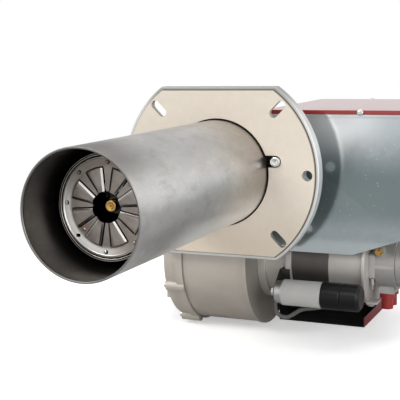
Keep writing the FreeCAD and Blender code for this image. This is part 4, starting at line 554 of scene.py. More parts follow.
# %% Heat-stained disc
DISC_SHEET = 1.2
DISC_FACE = Box("diffuser_disc").back - DISC_SHEET
BORDER, BORDER_TOP, HUB_STAIN = (0.0405, 0.0470), (0.026, 0.050), (0.0225, 0.0165)
PETAL_REACH, FLANK_DEPTH = 0.0419, -0.2975
DIMPLE_FROM, DIMPLE_TO, DIMPLE_FOOT = 0.0454, 0.0516, DISC_FACE * MM - 0.0009
ROLLED_RIM, SHADED_BACK = (0.0519, 0.0523), (-0.2960, -0.2950)
bench = Finish("disc_sheet")
x, y, z = bench.parts(bench.place())
radius = reach(x, z)
stain = bench.noise(bench.place(), 70.0, 4.0, 0.65)
lines = bench.noise(bench.place(), 700.0, 3.0, 0.6)
plain = bench.mix(bench.smooth(stain, 0.3, 0.7), tone(140, 131, 124), tone(158, 150, 143))
# painted highlight: the border's lower left takes the bright tone
bright = bench.mix(bench.smooth(stain, 0.3, 0.7), tone(232, 229, 225), tone(244, 242, 239))
lit_low_left = bench.smooth(x * -0.76 - z * 0.65, 0.004, 0.046)
border = bench.smooth(radius, *BORDER)
colour = bench.mix(border * lit_low_left, plain, bright)
# a brown heat stain at the top of the border, which also stands in for shade there
colour = bench.mix(bench.smooth(z, *BORDER_TOP) * border * 0.5, colour, tone(120, 108, 98))
colour = bench.mix(bench.smooth(radius, *HUB_STAIN) * 0.5, colour, tone(92, 84, 78))
facing = bench.facing()
steep = bench.step(facing[1], -0.972) * bench.step(-0.30, facing[1])
flank = bench.step(PETAL_REACH, radius) * steep * bench.step(FLANK_DEPTH, y)
# painted light: flanks facing right, and some facing left, are painted lit, the rest painted shaded
lit_right = bench.smooth(facing[0], 0.10, 0.22) * bench.smooth(facing[2], -0.03, 0.03)
lit_left = bench.smooth(facing[0], -0.14, -0.22) * bench.step(facing[2], 0.2) * 0.55
shaded = bench.mix(bench.smooth(facing[2], 0.0, 0.3) * 0.6, tone(34, 31, 29), tone(104, 98, 92))
flank_tone = bench.mix((lit_right + lit_left).capped(), shaded, tone(240, 237, 232))
colour = bench.mix(flank, colour, flank_tone)
dimple = bench.step(DIMPLE_TO, radius) * bench.step(radius, DIMPLE_FROM) * bench.step(DIMPLE_FOOT, y)
# painted highlight on the dimples' left sides, painted shade on their right sides
colour = bench.mix(dimple * bench.smooth(facing[0], -0.05, -0.45), colour, tone(250, 249, 246))
colour = bench.mix(dimple * bench.smooth(facing[0], 0.10, 0.45), colour, tone(66, 60, 55))
colour = bench.mix(bench.smooth(radius, *ROLLED_RIM), colour, tone(176, 171, 164))
# painted shade: the back of the disc is painted nearly black
colour = bench.mix(bench.smooth(y, *SHADED_BACK) * 0.85, colour, tone(40, 37, 35))
colour = bench.mix(bench.edges(0.55, 0.65) * 0.25, colour, tone(230, 228, 224))
bench.surface(Base_Color=colour, Roughness=0.25 + 0.12 * stain, Metallic=0.85,
              Normal=bench.bump(lines, 0.00002, 0.5))

# %% [markdown]
# ## Finish of the ring
# The ring round the disc is sooty, except on the two beads of its front edge, which carry painted
# highlights. They are found by their radius and by how near they lie to the ring's front.

# %% Ring with painted highlights on two beads
RING_FRONT = Box("disc_ring").front * MM
INNER_BEAD, OUTER_BEAD = (0.0563, 0.0560), (0.0574, 0.0577)
bench = Finish("ring_sheet")
x, y, z = bench.parts(bench.place())
radius = reach(x, z)
lines = bench.noise(bench.place(), 700.0, 3.0, 0.6)
front_edge = bench.smooth(y, RING_FRONT + 0.0011, RING_FRONT + 0.0007)
beads = bench.smooth(radius, *INNER_BEAD) + bench.smooth(radius, *OUTER_BEAD)
sooty = bench.mix(lines, tone(48, 45, 42), tone(64, 60, 56))
# painted highlight: the two beads are painted bright
colour = bench.mix(front_edge * beads, sooty, tone(198, 194, 188))
bench.surface(Base_Color=colour, Roughness=0.24 + 0.1 * lines, Metallic=0.9,
              Normal=bench.bump(lines, 0.00002, 0.5))

# %% [markdown]
# ## Finish of the galvanised box
# Zinc sets on steel in large flat crystals that face slightly different ways. A Voronoi texture gives each
# crystal one random level, which moves its colour only a little: on new sheet they are barely seen. The
# front plate carries painted reflections: a bright one at its top, a dark band across its middle and a
# paler one at its foot, and tiny painted glints lie over the crystals. The surface's own direction tells
# the front plate from the rest.

# %% Zinc on the box
BRIGHT_TOP, BRIGHT_LEFT = (0.002, 0.060), (0.228, 0.150)
DARK_BAND_FROM_TOP, DARK_BAND_TO_BOTTOM, REFLECTION_FOOT = (0.026, -0.012), (-0.082, -0.052), (-0.088, -0.100)
bench = Finish("galvanised_sheet")
place = bench.place()
x, y, z = bench.parts(place)
flat = bench.stretch(place, (1.0, 0.4, 1.0))
warped = bench.noise(flat, 22.0, 3.0, 0.5)
lean = bench.parts(bench.grains(flat, 150.0, out="Color"))[0]
fine = bench.noise(bench.stretch(place, (1.0, 0.3, 1.0)), 900.0, 2.0, 0.6)
zinc = bench.mix(lean, tone(154, 164, 168), tone(160, 170, 174))
zinc = bench.mix(bench.smooth(warped, 0.38, 0.7) * 0.12, zinc, tone(146, 157, 161))
facing = bench.facing()
front = bench.step(-0.7, facing[1])
# painted reflection: the top of the front plate is painted bright
bright = front * bench.smooth(z, *BRIGHT_TOP) * bench.smooth(x, *BRIGHT_LEFT, 0.35, 0.92)
zinc = bench.mix(bright, zinc, tone(238, 241, 243))
# painted reflection: a darker band across the middle of the front plate
dark_band_reflection = front * bench.smooth(z, *DARK_BAND_FROM_TOP) * bench.smooth(z, *DARK_BAND_TO_BOTTOM)
zinc = bench.mix(dark_band_reflection, zinc, tone(128, 141, 143))
# painted reflection: the foot of the front plate is painted paler
zinc = bench.mix(front * bench.smooth(z, *REFLECTION_FOOT) * 0.7, zinc, tone(196, 205, 207))
# painted glints: tiny light specks on some crystals
painted_glints = bench.grains(bench.stretch(place, (1.0, 0.02, 1.0)), 150.0)
zinc = bench.mix(bench.smooth(painted_glints, 0.15, 0.06) * bench.step(lean, 0.45) * 0.6, zinc, tone(222, 228, 230))
zinc = bench.mix(bench.edges() * 0.5, zinc, tone(214, 219, 221))
print(f"zinc with {len(bench.tree.nodes)} nodes so far")

# %% [markdown]
# ## Finish of the motor guard
# The motor guard belongs to the same node as the box, but it is lacquered dark red outside, and inside it is
# painted black as the shade behind and under the motor. So the box's finish goes on here: a mask by place
# finds the guard, and one mask for each outer wall, by place and direction, parts the lacquer from the
# painted shade.

# %% Lacquer and painted shade on the guard
GUARD_FRONT, GUARD_TOP, GUARD_BACK, GUARD_FLOOR = 0.100, -0.0684, 0.2612, -0.2352
GUARD_LEFT, GUARD_RIGHT = 0.0328, 0.1592
guard = bench.step(y, GUARD_FRONT) * bench.step(GUARD_TOP, z)
right_wall = bench.step(x, GUARD_RIGHT) * bench.step(facing[0], 0.7)
left_wall = bench.step(GUARD_LEFT, x) * bench.step(-0.7, facing[0])
back_wall = bench.step(y, GUARD_BACK) * bench.step(facing[1], 0.7)
under = bench.step(GUARD_FLOOR, z) * bench.step(-0.7, facing[2])
outside = (right_wall + left_wall + back_wall + under).capped()
# painted shade: the guard's inside is painted black
shade_lining = bench.mix(fine, tone(10, 10, 10), tone(15, 14, 14))
lacquer = bench.mix(fine, tone(112, 14, 14), tone(122, 20, 19))
colour = bench.mix(guard, zinc, bench.mix(outside, shade_lining, lacquer))
rough = (0.11 + 0.02 * lean + 0.03 * fine) * (1 - guard) + guard * (0.5 - 0.2 * outside)
bench.surface(Base_Color=colour, Roughness=rough, Metallic=0.86 * (1 - guard),
              Normal=bench.bump(warped * 2.0 + fine * 0.1, 0.00002, 0.4))


# %% [markdown]
# ## Finish of paint and plastic
# Paint and moulded plastic are even colours under a fine skin: orange peel on lacquer, a matt grain on
# mouldings. The lid's red is washed out on top, where it mirrors the bright ceiling at a flat angle, so it
# gets a clear coat. Its skirt looks at the camera and is painted a deeper red, as shade, and the stator's
# underside is painted darker, as shade.

# %% Paint and plastic
def coated(name, dark, light, rough, skin, coat=0.0, shade=None, shine=0.5):
    """Paint or moulded plastic: an even colour with a fine skin and paler worn edges."""
    bench = Finish(name)
    place = bench.place()
    peel = bench.noise(place, skin, 2.0, 0.5)
    cloud = bench.noise(place, 24.0, 3.0, 0.6)
    colour = bench.mix(bench.smooth(cloud, 0.3, 0.7), dark, light)
    colour = bench.mix(bench.edges() * 0.3, colour, scaled(light, 1.3, 0.03))
    if shade is not None:
        colour = shade(bench, colour)
    bench.surface(Base_Color=colour, Roughness=rough + 0.08 * peel, Coat_Weight=coat, Coat_Roughness=0.06,
                  Specular_IOR_Level=shine, Normal=bench.bump(peel, 0.00003, 0.5))


def shaded_skirt(bench, colour):
    """The lid's skirt faces the camera, and there the lacquer is painted a deeper red, as shade."""
    return bench.mix(bench.step(-0.5, bench.facing()[1]), colour, tone(134, 10, 10))


def shaded_below(bench, colour):
    """The stator's underside is painted darker, as shade."""
    height = bench.parts(bench.place())[2]
    return bench.mix(bench.smooth(height, -0.118, -0.150) * 0.9, colour, tone(44, 41, 39))


coated("red_lacquer", tone(164, 26, 26), tone(178, 34, 32), 0.28, 500.0, coat=1.0, shade=shaded_skirt)
coated("stator_paint", tone(88, 83, 79), tone(102, 96, 91), 0.42, 700.0, shade=shaded_below)
coated("black_moulding", tone(8, 8, 9), tone(12, 12, 13), 0.30, 1600.0, shine=0.28)
coated("grey_moulding", tone(120, 122, 124), tone(134, 136, 138), 0.42, 1600.0)
coated("red_moulding", tone(126, 22, 20), tone(140, 28, 25), 0.34, 1600.0)
coated("button_red", tone(190, 24, 22), tone(205, 34, 30), 0.26, 1600.0)
coated("glazed_ceramic", tone(222, 218, 208), tone(234, 231, 222), 0.18, 600.0, coat=0.6)
coated("lead_sheath", tone(92, 91, 89), tone(108, 107, 104), 0.5, 1200.0)
coated("paper_label", tone(160, 159, 156), tone(172, 171, 168), 0.42, 1200.0)

# %% [markdown]
# ## Finish of the window
# The inspection window is plain glass with a faint haze, which a little noise in its roughness gives.

# %% Window pane
bench = Finish("window_pane")
haze = bench.noise(bench.place(), 40.0)
bench.surface(Base_Color=tone(226, 236, 232), Roughness=0.02 + 0.04 * haze, Transmission_Weight=0.9, IOR=1.5)
print(f"{len(Finish.made)} finishes")

# %% [markdown]
# ## Who wears what
# The record names a material slot for every node. A table from slot to finish dresses all of them at once,
# so a node that is not rebuilt further down is finished too.

# %% Which finish each slot takes
FINISH_OF_SLOT = {
    "tube_steel": "rolled_steel", "gasket_fibre": "fibre_gasket", "cast_alu": "body_casting",
    "flange_alu": "flange_casting", "bar_steel": "drawn_bar", "screw_steel": "zinc_screw",
    "disc_steel": "disc_sheet", "copper": "copper_metal", "brass": "turned_brass", "dark_steel": "dark_plate",
    "ceramic": "glazed_ceramic", "wheel_steel": "pressed_zinc", "stator_paint": "stator_paint",
    "bell_alu": "motor_casting", "can_alu": "can_metal", "black_plastic": "black_moulding",
    "red_plastic": "red_moulding", "pump_alu": "pump_casting", "galvanised": "galvanised_sheet",
    "red_paint": "red_lacquer", "grey_plastic": "grey_moulding", "clear_glass": "window_pane",
    "bronze": "bronze_metal", "lead_grey": "lead_sheath", "button_red": "button_red",
}


def finish_for(node):
    """The finish that the node's slot asks for."""
    return Finish.made[FINISH_OF_SLOT[SLOT_OF[node]]]


def wear(piece, finish):
    """Gives a piece one finish, in place of any that it has."""
    piece.data.materials.clear()
    piece.data.materials.append(finish)


for node, piece in NODES.items():
    wear(piece, finish_for(node))
print(f"{len(FINISH_OF_SLOT)} slots have a finish")

# %% [markdown]
# ## Pieces and the nodes they stand for
# A finer piece takes the place of a CAD node in the picture, and the node stays in the simulation. Every
# piece names the node whose body it rides on, and most take their finish from that node's slot in the
# record. These few helpers say that in the same words for each piece.

# %% Dress and join
def linked(piece):
    """Puts a piece into the scene, if it isn't there yet."""
    if piece.name not in bpy.context.scene.objects:
        bpy.context.collection.objects.link(piece)
    return piece


def add_on(piece, node):
    """Links a finished piece and lets it ride on its node's body."""
    linked(piece)
    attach(piece, BODY_OF[node])


def dress(piece, node):
    """Links a finished piece that also stands for its CAD node."""
    linked(piece)
    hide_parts(node)
    add_on(piece, node)


def applied(piece):
    """Keeps what the modifiers make as the piece's own mesh."""
    graph = bpy.context.evaluated_depsgraph_get()
    finished = bpy.data.meshes.new_from_object(piece.evaluated_get(graph), depsgraph=graph)
    piece.modifiers.clear()
    piece.data = finished


def shaded_smooth(mesh, angle):
    """Smooth shading, but sharp where two faces meet at more than the angle, in degrees."""
    mesh.shade_smooth()
    mesh.set_sharp_from_angle(angle=math.radians(angle))


print("pieces ride on", sorted(set(BODY_OF.values())))

# %% [markdown]
# ## Broken edges
# No real edge is perfectly sharp, and the thin bright line along it is what the eye reads as metal. A copy
# of each solid is merged, its flat faces are joined again, and a bevel breaks every edge sharper than 30
# degrees. Weighted normals then keep the large faces flat to the eye, so that the shading of the bevel
# doesn't spread over them.

# %% Break the edges of the solids
def joined_faces(node):
    """A copy of a CAD node with its triangles merged back into flat faces."""
    shape = bmesh.new()
    shape.from_mesh(NODES[node].data)
    bmesh.ops.remove_doubles(shape, verts=shape.verts, dist=2e-6)
    bmesh.ops.dissolve_limit(shape, angle_limit=math.radians(0.6), verts=shape.verts, edges=shape.edges)
    return shape


def soften(piece, width):
    """Bevels a linked piece by width, in millimetres, and weighs its normals by face size."""
    bevel = piece.modifiers.new("broken edges", "BEVEL")
    bevel.width = width * MM
    bevel.segments = 2
    bevel.limit_method = "ANGLE"
    bevel.angle_limit = math.radians(30)
    bevel.use_clamp_overlap = True
    weigh = piece.modifiers.new("flat faces", "WEIGHTED_NORMAL")
    weigh.keep_sharp = True
    weigh.mode = "FACE_AREA"
    applied(piece)


def break_edges(node, width):
    """Dresses a CAD node in a copy whose sharp edges are rounded by width, in millimetres."""
    shape = joined_faces(node)
    mesh = bpy.data.meshes.new(node + "_eased")
    shape.to_mesh(mesh)
    shape.free()
    mesh.shade_smooth()
    piece = linked(bpy.data.objects.new(node + "_eased", mesh))
    soften(piece, width)
    wear(piece, finish_for(node))
    dress(piece, node)


EASED = {
    "mounting_flange": 1.3, "flange_gasket": 0.25, "cast_body": 1.0, "fan_cover": 1.0, "motor_neck": 0.6,
    "motor_end_bell": 1.0, "capacitor_can": 0.6, "capacitor_cap": 0.8, "capacitor_bracket": 0.4,
    "pump_plate": 0.6, "pump_body": 1.0, "pump_cover": 0.8, "solenoid_coil": 1.0, "electric_box": 0.25,
    "control_base": 0.6, "control_box": 1.0, "switch_frame": 0.5, "ignition_transformer": 1.0,
    "terminal_strip": 0.4, "cable_glands": 0.5, "rear_plate": 0.8, "line_gland": 0.4, "intake_box": 0.8,
    "damper_scale": 0.2, "slide_bushes": 0.3, "slide_bars": 0.3, "cover_lid": 0.3, "cover_lid_screws": 0.3,
    "power_switch": 0.5, "reset_button": 0.4, "window_flap": 0.2, "damper_flap": 0.2, "pump_fittings": 0.3,
    "port_plugs": 0.3, "capacitor_nut": 0.3, "head_spider": 0.2, "nozzle_holder": 0.3,
}
for node, width in EASED.items():
    break_edges(node, width)
print(f"{len(EASED)} solids have broken edges")

# %% [markdown]
# ## Turned pieces
# A sheet rolled round or a piece from the lathe is a profile turned about its axis. A turned profile with
# many steps keeps its outline round close to the camera, and small arcs round each rim catch the light. The
# same rings can be pulled to a hexagon, so one function also makes nuts, sockets and the nozzle.

# %% Rings and arcs
def arc(centre, size, start, end, steps=6):
    """Points of an arc in the profile's plane, angles in degrees from the axis direction."""
    angles = [math.radians(start + (end - start) * step / steps) for step in range(steps + 1)]
    return [(centre[0] + size * math.cos(a), centre[1] + size * math.sin(a)) for a in angles]


def placed(along, first, second, axis):
    """A point whose first coordinate runs along the named axis."""
    return {"X": (along, first, second), "Y": (second, along, first), "Z": (first, second, along)}[axis]


def merged(shape, distance):
    """Merges doubled points and turns all faces outwards."""
    bmesh.ops.remove_doubles(shape, verts=shape.verts, dist=distance)
    bmesh.ops.recalc_face_normals(shape, faces=shape.faces)


def ringed(name, rings, sides, axis="Y", centre=(0, 0, 0)):
    """A closed solid of rings (place along the axis, radius, corners if it has any), in millimetres."""
    mesh = bpy.data.meshes.new(name)
    verts, faces = [], []
    for side in range(sides):
        angle = 2 * math.pi * side / sides
        for ring in rings:
            along, radius = ring[:2]
            if len(ring) > 2:
                turn = math.pi / ring[2]
                radius *= math.cos(turn) / math.cos(angle % (2 * turn) - turn)
            point = placed(along, radius * math.cos(angle), radius * math.sin(angle), axis)
            verts.append([(value + shift) * MM for value, shift in zip(point, centre)])
    count = len(rings)
    for side in range(sides):
        here, there = side * count, ((side + 1) % sides) * count
        for step in range(count):
            following = (step + 1) % count
            faces.append((here + step, there + step, there + following, here + following))
    mesh.from_pydata(verts, [], faces)
    shape = bmesh.new()
    shape.from_mesh(mesh)
    merged(shape, 1e-7)
    shape.to_mesh(mesh)
    shape.free()
    shaded_smooth(mesh, 35)
    return bpy.data.objects.new(name, mesh)


print("an arc of", len(arc((0, 0), 1, 0, 90)), "points")

# %% [markdown]
# ## Blast tube
# The tube's wall is a closed profile: a turned-in mouth with two small arcs, a step where the tube leaves
# the gasket, a lip that the flange holds at the rear, and the smooth inside.

# %% Turn the blast tube
tube_box = Box("blast_tube")
mouth, rear, lip = tube_box.front, tube_box.back, tube_box.right
tube_profile = (arc((mouth + 1.3, 67.9 + 0.75), 1.3, 270, 180) + arc((mouth + 0.75, 69.25), 0.75, 180, 90)
                + [(-0.4, 70.0), (0.0, 69.7), (0.4, 69.4), (rear - 2.9, 69.4), (rear - 2.5, 69.9),
                   (rear - 2.5, lip - 0.3), (rear - 2.2, lip), (rear - 0.3, lip), (rear, lip - 0.3),
                   (rear, 69.0), (rear - 0.6, 68.5), (mouth + 6.0, 68.5), (mouth + 3.2, 68.3),
                   (mouth + 2.4, 67.7)])
tube = ringed("blast_tube_sheet", tube_profile, 224)
wear(tube, finish_for("blast_tube"))
dress(tube, "blast_tube")
print(f"blast tube: {len(tube.data.polygons)} faces, mouth at {mouth:.1f} mm")

# %% [markdown]
# ## Copies by Geometry Nodes
# Much of the burner repeats: petals, blades, laminations, screws, slats. A small Geometry Nodes tree makes
# each kind of repeat from one master piece, and its sizes are named inputs. `Recipe` builds such a tree,
# runs it once on an object and keeps the result as a plain mesh, because an exported model has no instances.

# %% Recipe
class Recipe(Bench):
    """A Geometry Nodes tree with named inputs, whose result is kept as a plain mesh."""

    def __init__(self, name, **inputs):
        super().__init__(bpy.data.node_groups.new(name, "GeometryNodeTree"))
        self.inputs = {}
        for label, kind in {"Carrier": "Geometry", **inputs, "Finish": "Material"}.items():
            self.inputs[label] = self.tree.interface.new_socket(
                label, in_out="INPUT", socket_type="NodeSocket" + kind)
        self.tree.interface.new_socket("Result", in_out="OUTPUT", socket_type="NodeSocketGeometry")
        self.entry = self.tree.nodes.new("NodeGroupInput")

    def given(self, label):
        return Signal(self, self.entry.outputs[label])

    def master(self):
        """The mesh of the piece that is repeated."""
        return self.node("GeometryNodeObjectInfo", sockets={0: self.given("Piece")}, out="Geometry")

    def deliver(self, copies):
        """Turns the copies into one plain mesh with its finish on."""
        solid = self.node("GeometryNodeRealizeInstances", sockets={0: copies})
        whole = self.node("GeometryNodeMergeByDistance", sockets={"Geometry": solid, "Distance": 1e-6})
        painted = self.node("GeometryNodeSetMaterial", sockets={0: whole, "Material": self.given("Finish")})
        self.node("NodeGroupOutput", sockets={0: painted})
        print(f"{self.tree.name}: {len(self.tree.nodes)} nodes")

    def run(self, name, finish, carrier=None, **values):
        """Runs the tree once and returns the result as an object with a plain mesh."""
        piece = linked(bpy.data.objects.new(name, carrier or bpy.data.meshes.new(name)))
        helpers = [value for value in values.values() if isinstance(value, bpy.types.Object)]
        for helper in helpers:
            linked(helper)
        modifier = piece.modifiers.new("copies", "NODES")
        modifier.node_group = self.tree
        modifier[self.inputs["Finish"].identifier] = finish
        for label, value in values.items():
            modifier[self.inputs[label].identifier] = value
        applied(piece)
        for helper in helpers:
            bpy.data.objects.remove(helper)
        shaded_smooth(piece.data, 35)
        return piece


print("a recipe turns one master piece into plain copies")

# %% [markdown]
# ## Copies in a ring
# Petals and blades sit at equal angles about an axis. All copies start at one point, each is turned by its
# own number times the pitch, and then the whole ring is moved to its centre.

# %% Recipe for copies in a ring
ring_of = Recipe("copies_in_a_ring", Piece="Object", Count="Int", Axis="Vector", Centre="Vector",
                 First="Float")
seats = ring_of.node("GeometryNodeMeshLine", sockets={"Count": ring_of.given("Count"), "Offset": (0, 0, 0)})
index = ring_of.node("GeometryNodeInputIndex")
angle = index * (2 * math.pi) / ring_of.given("Count") + ring_of.given("First")
turned_by = ring_of.node("FunctionNodeAxisAngleToRotation",
                         sockets={"Axis": ring_of.given("Axis"), "Angle": angle})
copies = ring_of.node("GeometryNodeInstanceOnPoints", sockets={
    "Points": seats, "Instance": ring_of.master(), "Rotation": turned_by})
moved = ring_of.node("GeometryNodeTranslateInstances", sockets={
    0: copies, "Translation": ring_of.given("Centre"), "Local Space": False})
ring_of.deliver(moved)

# %% [markdown]
# ## Copies in a row
# Laminations and slats stand in a straight row. A mesh line with a start and a step gives their places.

# %% Recipe for copies in a row
row_of = Recipe("copies_in_a_row", Piece="Object", Count="Int", Start="Vector", Step="Vector")
line = row_of.node("GeometryNodeMeshLine", sockets={
    "Count": row_of.given("Count"), "Start Location": row_of.given("Start"), "Offset": row_of.given("Step")})
in_line = row_of.node("GeometryNodeInstanceOnPoints", sockets={"Points": line, "Instance": row_of.master()})
row_of.deliver(in_line)

# %% [markdown]
# ## Copies on places of their own
# Screws and rivets sit where the part needs them. Each place is a vertex that carries the direction it looks
# in. The recipe turns a copy's Z axis to that direction, and then about itself by chance, with a seed.

# %% Recipe for pieces on places of their own
at_places = Recipe("pieces_on_places", Piece="Object", Seed="Int", Turn="Float")
outward = at_places.node("GeometryNodeInputNamedAttribute", {"data_type": "FLOAT_VECTOR"},
                         {"Name": "outward"})
upright = at_places.node("FunctionNodeAlignRotationToVector", {"axis": "Z"}, {"Vector": outward})
chance = at_places.node("FunctionNodeRandomValue", {"data_type": "FLOAT"},
                        {2: 0.0, 3: at_places.given("Turn"), 8: at_places.given("Seed")}, out=1)
settled = at_places.node("FunctionNodeRotateRotation", {"rotation_space": "LOCAL"},
                         {"Rotation": upright, "Rotate By": at_places.vector(0.0, 0.0, chance)})
at_places.deliver(at_places.node("GeometryNodeInstanceOnPoints", sockets={
    "Points": at_places.given("Carrier"), "Instance": at_places.master(), "Rotation": settled}))
FULL_TURN = 6.28


def places_mesh(name, places):
    """One vertex for each (point in millimetres, outward direction)."""
    mesh = bpy.data.meshes.new(name)
    mesh.from_pydata([[value * MM for value in point] for point, _ in places], [], [])
    attribute = mesh.attributes.new("outward", "FLOAT_VECTOR", "POINT")
    for entry, (_, direction) in zip(attribute.data, places):
        entry.vector = direction
    return mesh


# %% [markdown]
# ## Diffuser disc
# The disc mixes the air with the oil spray. Eight petals are cut from the sheet and pressed forward, and a
# border with a rolled rim holds them. Two functions say what the press does to a point of the sheet: how
# high it lifts it, and how far along the arc it draws it back. Angles are in degrees from the petal's
# middle, radii and heights in millimetres.

# %% How the press shapes the sheet
PETALS = 8
DISC_TURN = -3.3
PETAL_SIDE, FLANK_SIDE, EIGHTH_SIDE, WEB_MIDDLE = 15, 12.6, 22.5, 18.75
PETAL_START, PETAL_END, DISC_EDGE = 17.0, 43.7, 54.0
PETAL_RISE, PETAL_RAMP, FLANK_RISE = 2.4, 1.6, 0.62
FLANK, HALF_SLOT, WEB_SLOT, SLOT_RAMP = 2.1, 0.35, 0.85, 1.7
DISH, DISH_START, DISH_LENGTH = 0.8, 44.5, 7.4
ROLL, ROLL_START, ROLL_LENGTH, ROLL_TOP, ROLL_FALL = 0.9, 51.9, 0.9, 53.5, 0.35


def share(distance, length):
    """How much of a length a distance covers, from 0 to 1."""
    return min(1.0, max(0.0, distance / length))


def disc_point(radius, turn, rise, gap):
    """A point on the disc's sheet, in metres: turn in degrees from the petal's middle, gap along the arc."""
    a = math.radians(EIGHTH_SIDE + DISC_TURN + turn) + gap / radius
    return Vector((radius * math.cos(a), DISC_FACE - rise, radius * math.sin(a))) * MM


def petal_lift(radius, turn):
    """Full height on the petal, a short ramp down to the border, and long sides bent down into flanks."""
    ramp = share(PETAL_END - radius, PETAL_RAMP)
    lift = PETAL_RISE * ramp * ramp * (3 - 2 * ramp)
    return lift * (FLANK_RISE if abs(turn) == PETAL_SIDE else 1.0)


def petal_gap(radius, turn):
    """How far a petal's side draws back for the air slot, and where its flank begins."""
    side = 1 if turn > 0 else -1
    opening = share(PETAL_END - radius, SLOT_RAMP)
    if abs(turn) == PETAL_SIDE:
        return -side * HALF_SLOT * opening
    if abs(turn) == FLANK_SIDE:
        return side * opening * (math.radians(PETAL_SIDE - FLANK_SIDE) * radius - HALF_SLOT - FLANK)
    return 0.0


def web_gap(radius, turn):
    """How far the flat web between two petals draws back from the slot."""
    side = 1 if turn > 0 else -1
    return side * WEB_SLOT * share(PETAL_END - radius, SLOT_RAMP) if abs(turn) == PETAL_SIDE else 0.0


def no_lift(radius, turn):
    """The web stays as flat as the sheet was."""
    return 0.0


def rim_lift(radius, turn):
    """The border is dished a little towards the front, and its rim is rolled up."""
    rolled = ROLL * share(radius - ROLL_START, ROLL_LENGTH) - ROLL_FALL * max(0.0, radius - ROLL_TOP)
    return DISH * share(radius - DISH_START, DISH_LENGTH) + rolled


print(f"petals rise {petal_lift(PETAL_START, 0):.1f} mm, the rim {rim_lift(ROLL_TOP, 0):.1f} mm")


# %% [markdown]
# ## One eighth of the disc
# One petal, half a web on each side and a piece of the border are drawn as four grids of points. Where the
# grids meet their points are the same, so merging them makes one sheet. The ring recipe copies it eight
# times, and the copies merge in the same way.

# %% Draw and copy one eighth
def skin(shape, rows):
    """Faces between neighbouring rows of points."""
    for lower, upper in zip(rows, rows[1:]):
        for step in range(len(lower) - 1):
            shape.faces.new((lower[step], lower[step + 1], upper[step + 1], upper[step]))


def grid(shape, radii, turns, lift, gap):
    """A patch of the sheet, with one row of points for each radius."""
    skin(shape, [[shape.verts.new(disc_point(radius, turn, lift(radius, turn), gap(radius, turn)))
                  for turn in turns] for radius in radii])


eighth = bmesh.new()
petal_turns = [-PETAL_SIDE, -FLANK_SIDE, -5, 0, 5, FLANK_SIDE, PETAL_SIDE]
petal_radii = [PETAL_START, 22, 28, 34, 39, 41, 42, 42.4, 42.8, 43.2, 43.5, PETAL_END]
grid(eighth, petal_radii, petal_turns, petal_lift, petal_gap)
for sign in (-1, 1):
    web_turns = sorted([PETAL_SIDE * sign, WEB_MIDDLE * sign, EIGHTH_SIDE * sign])
    grid(eighth, [PETAL_START, 28, 39, 42.7, 43.5, PETAL_END], web_turns, no_lift, web_gap)
border_turns = [-EIGHTH_SIDE, -WEB_MIDDLE] + petal_turns + [WEB_MIDDLE, EIGHTH_SIDE]
border_radii = [PETAL_END, DISH_START, 46.5, 48.5, 51.6, ROLL_START, 52.2, 52.5, 52.8, 53.1, ROLL_TOP,
                DISC_EDGE - 0.1]
grid(eighth, border_radii, border_turns, rim_lift, petal_gap)
bmesh.ops.remove_doubles(eighth, verts=eighth.verts, dist=2e-6)
eighth_mesh = bpy.data.meshes.new("disc_eighth")
eighth.to_mesh(eighth_mesh)
eighth.free()
disc_master = bpy.data.objects.new("disc_eighth", eighth_mesh)
disc = ring_of.run("diffuser_disc_sheet", finish_for("diffuser_disc"), Piece=disc_master, Count=PETALS,
                   Axis=(0, 1, 0), Centre=(0, 0, 0), First=0.0)
print(f"disc sheet: {len(disc.data.polygons)} faces")

# %% [markdown]
# ## The disc's thickness and notch
# Solidify thickens a sheet away from its face, so all faces are first turned to the front. A notch in the
# border is then cut through with a block. Both modifiers are kept as the disc's own mesh.

# %% Thickness and notch
NOTCH_TURN, NOTCH_RADIUS = 225, 48.5
NOTCH_SIZE = (5.0, 9, 3.4)


def front_facing(mesh):
    """Turns a sheet's faces to the front, -Y."""
    shape = bmesh.new()
    shape.from_mesh(mesh)
    merged(shape, 2e-6)
    if sum(face.normal.y * face.calc_area() for face in shape.faces) > 0:
        bmesh.ops.reverse_faces(shape, faces=shape.faces)
    shape.to_mesh(mesh)
    shape.free()


def block(middle, size):
    """A plain block as an open shape, in metres, from sizes in millimetres."""
    shape = bmesh.new()
    bmesh.ops.create_cube(shape, size=1.0)
    for vert in shape.verts:
        vert.co = Vector([centre + half * length for centre, half, length in zip(middle, vert.co, size)]) * MM
    return shape


def cut_away(piece, name, tool):
    """Cuts a tool out of a linked piece, keeps the result and drops the tool."""
    linked(tool)
    cut = piece.modifiers.new(name, "BOOLEAN")
    cut.object = tool
    cut.operation = "DIFFERENCE"
    applied(piece)
    bpy.data.objects.remove(tool)


front_facing(disc.data)
notch_angle = math.radians(NOTCH_TURN + DISC_TURN)
notch_middle = (NOTCH_RADIUS * math.cos(notch_angle), DISC_FACE, NOTCH_RADIUS * math.sin(notch_angle))
cutter_shape = block(notch_middle, NOTCH_SIZE)
cutter_mesh = bpy.data.meshes.new("notch_cutter")
cutter_shape.to_mesh(cutter_mesh)
cutter_shape.free()
thicken = disc.modifiers.new("sheet", "SOLIDIFY")
thicken.thickness = 1.15 * MM
thicken.offset = -1
thicken.use_even_offset = True
cut_away(disc, "notch", bpy.data.objects.new("notch_cutter", cutter_mesh))
shaded_smooth(disc.data, 40)
wear(disc, finish_for("diffuser_disc"))
dress(disc, "diffuser_disc")
print(f"disc: {len(disc.data.polygons)} faces")

# %% [markdown]
# ## Dimples and rivets on the disc
# Six dimples are pressed into the border, and two copper rivets hold the spider behind. Both are small
# domes at places of their own, so one master of each is put on its places, each turned by chance with a
# fixed seed.

# %% Domes on the disc
DIMPLE_RING, RIVET_RING = 48.5, 38.0


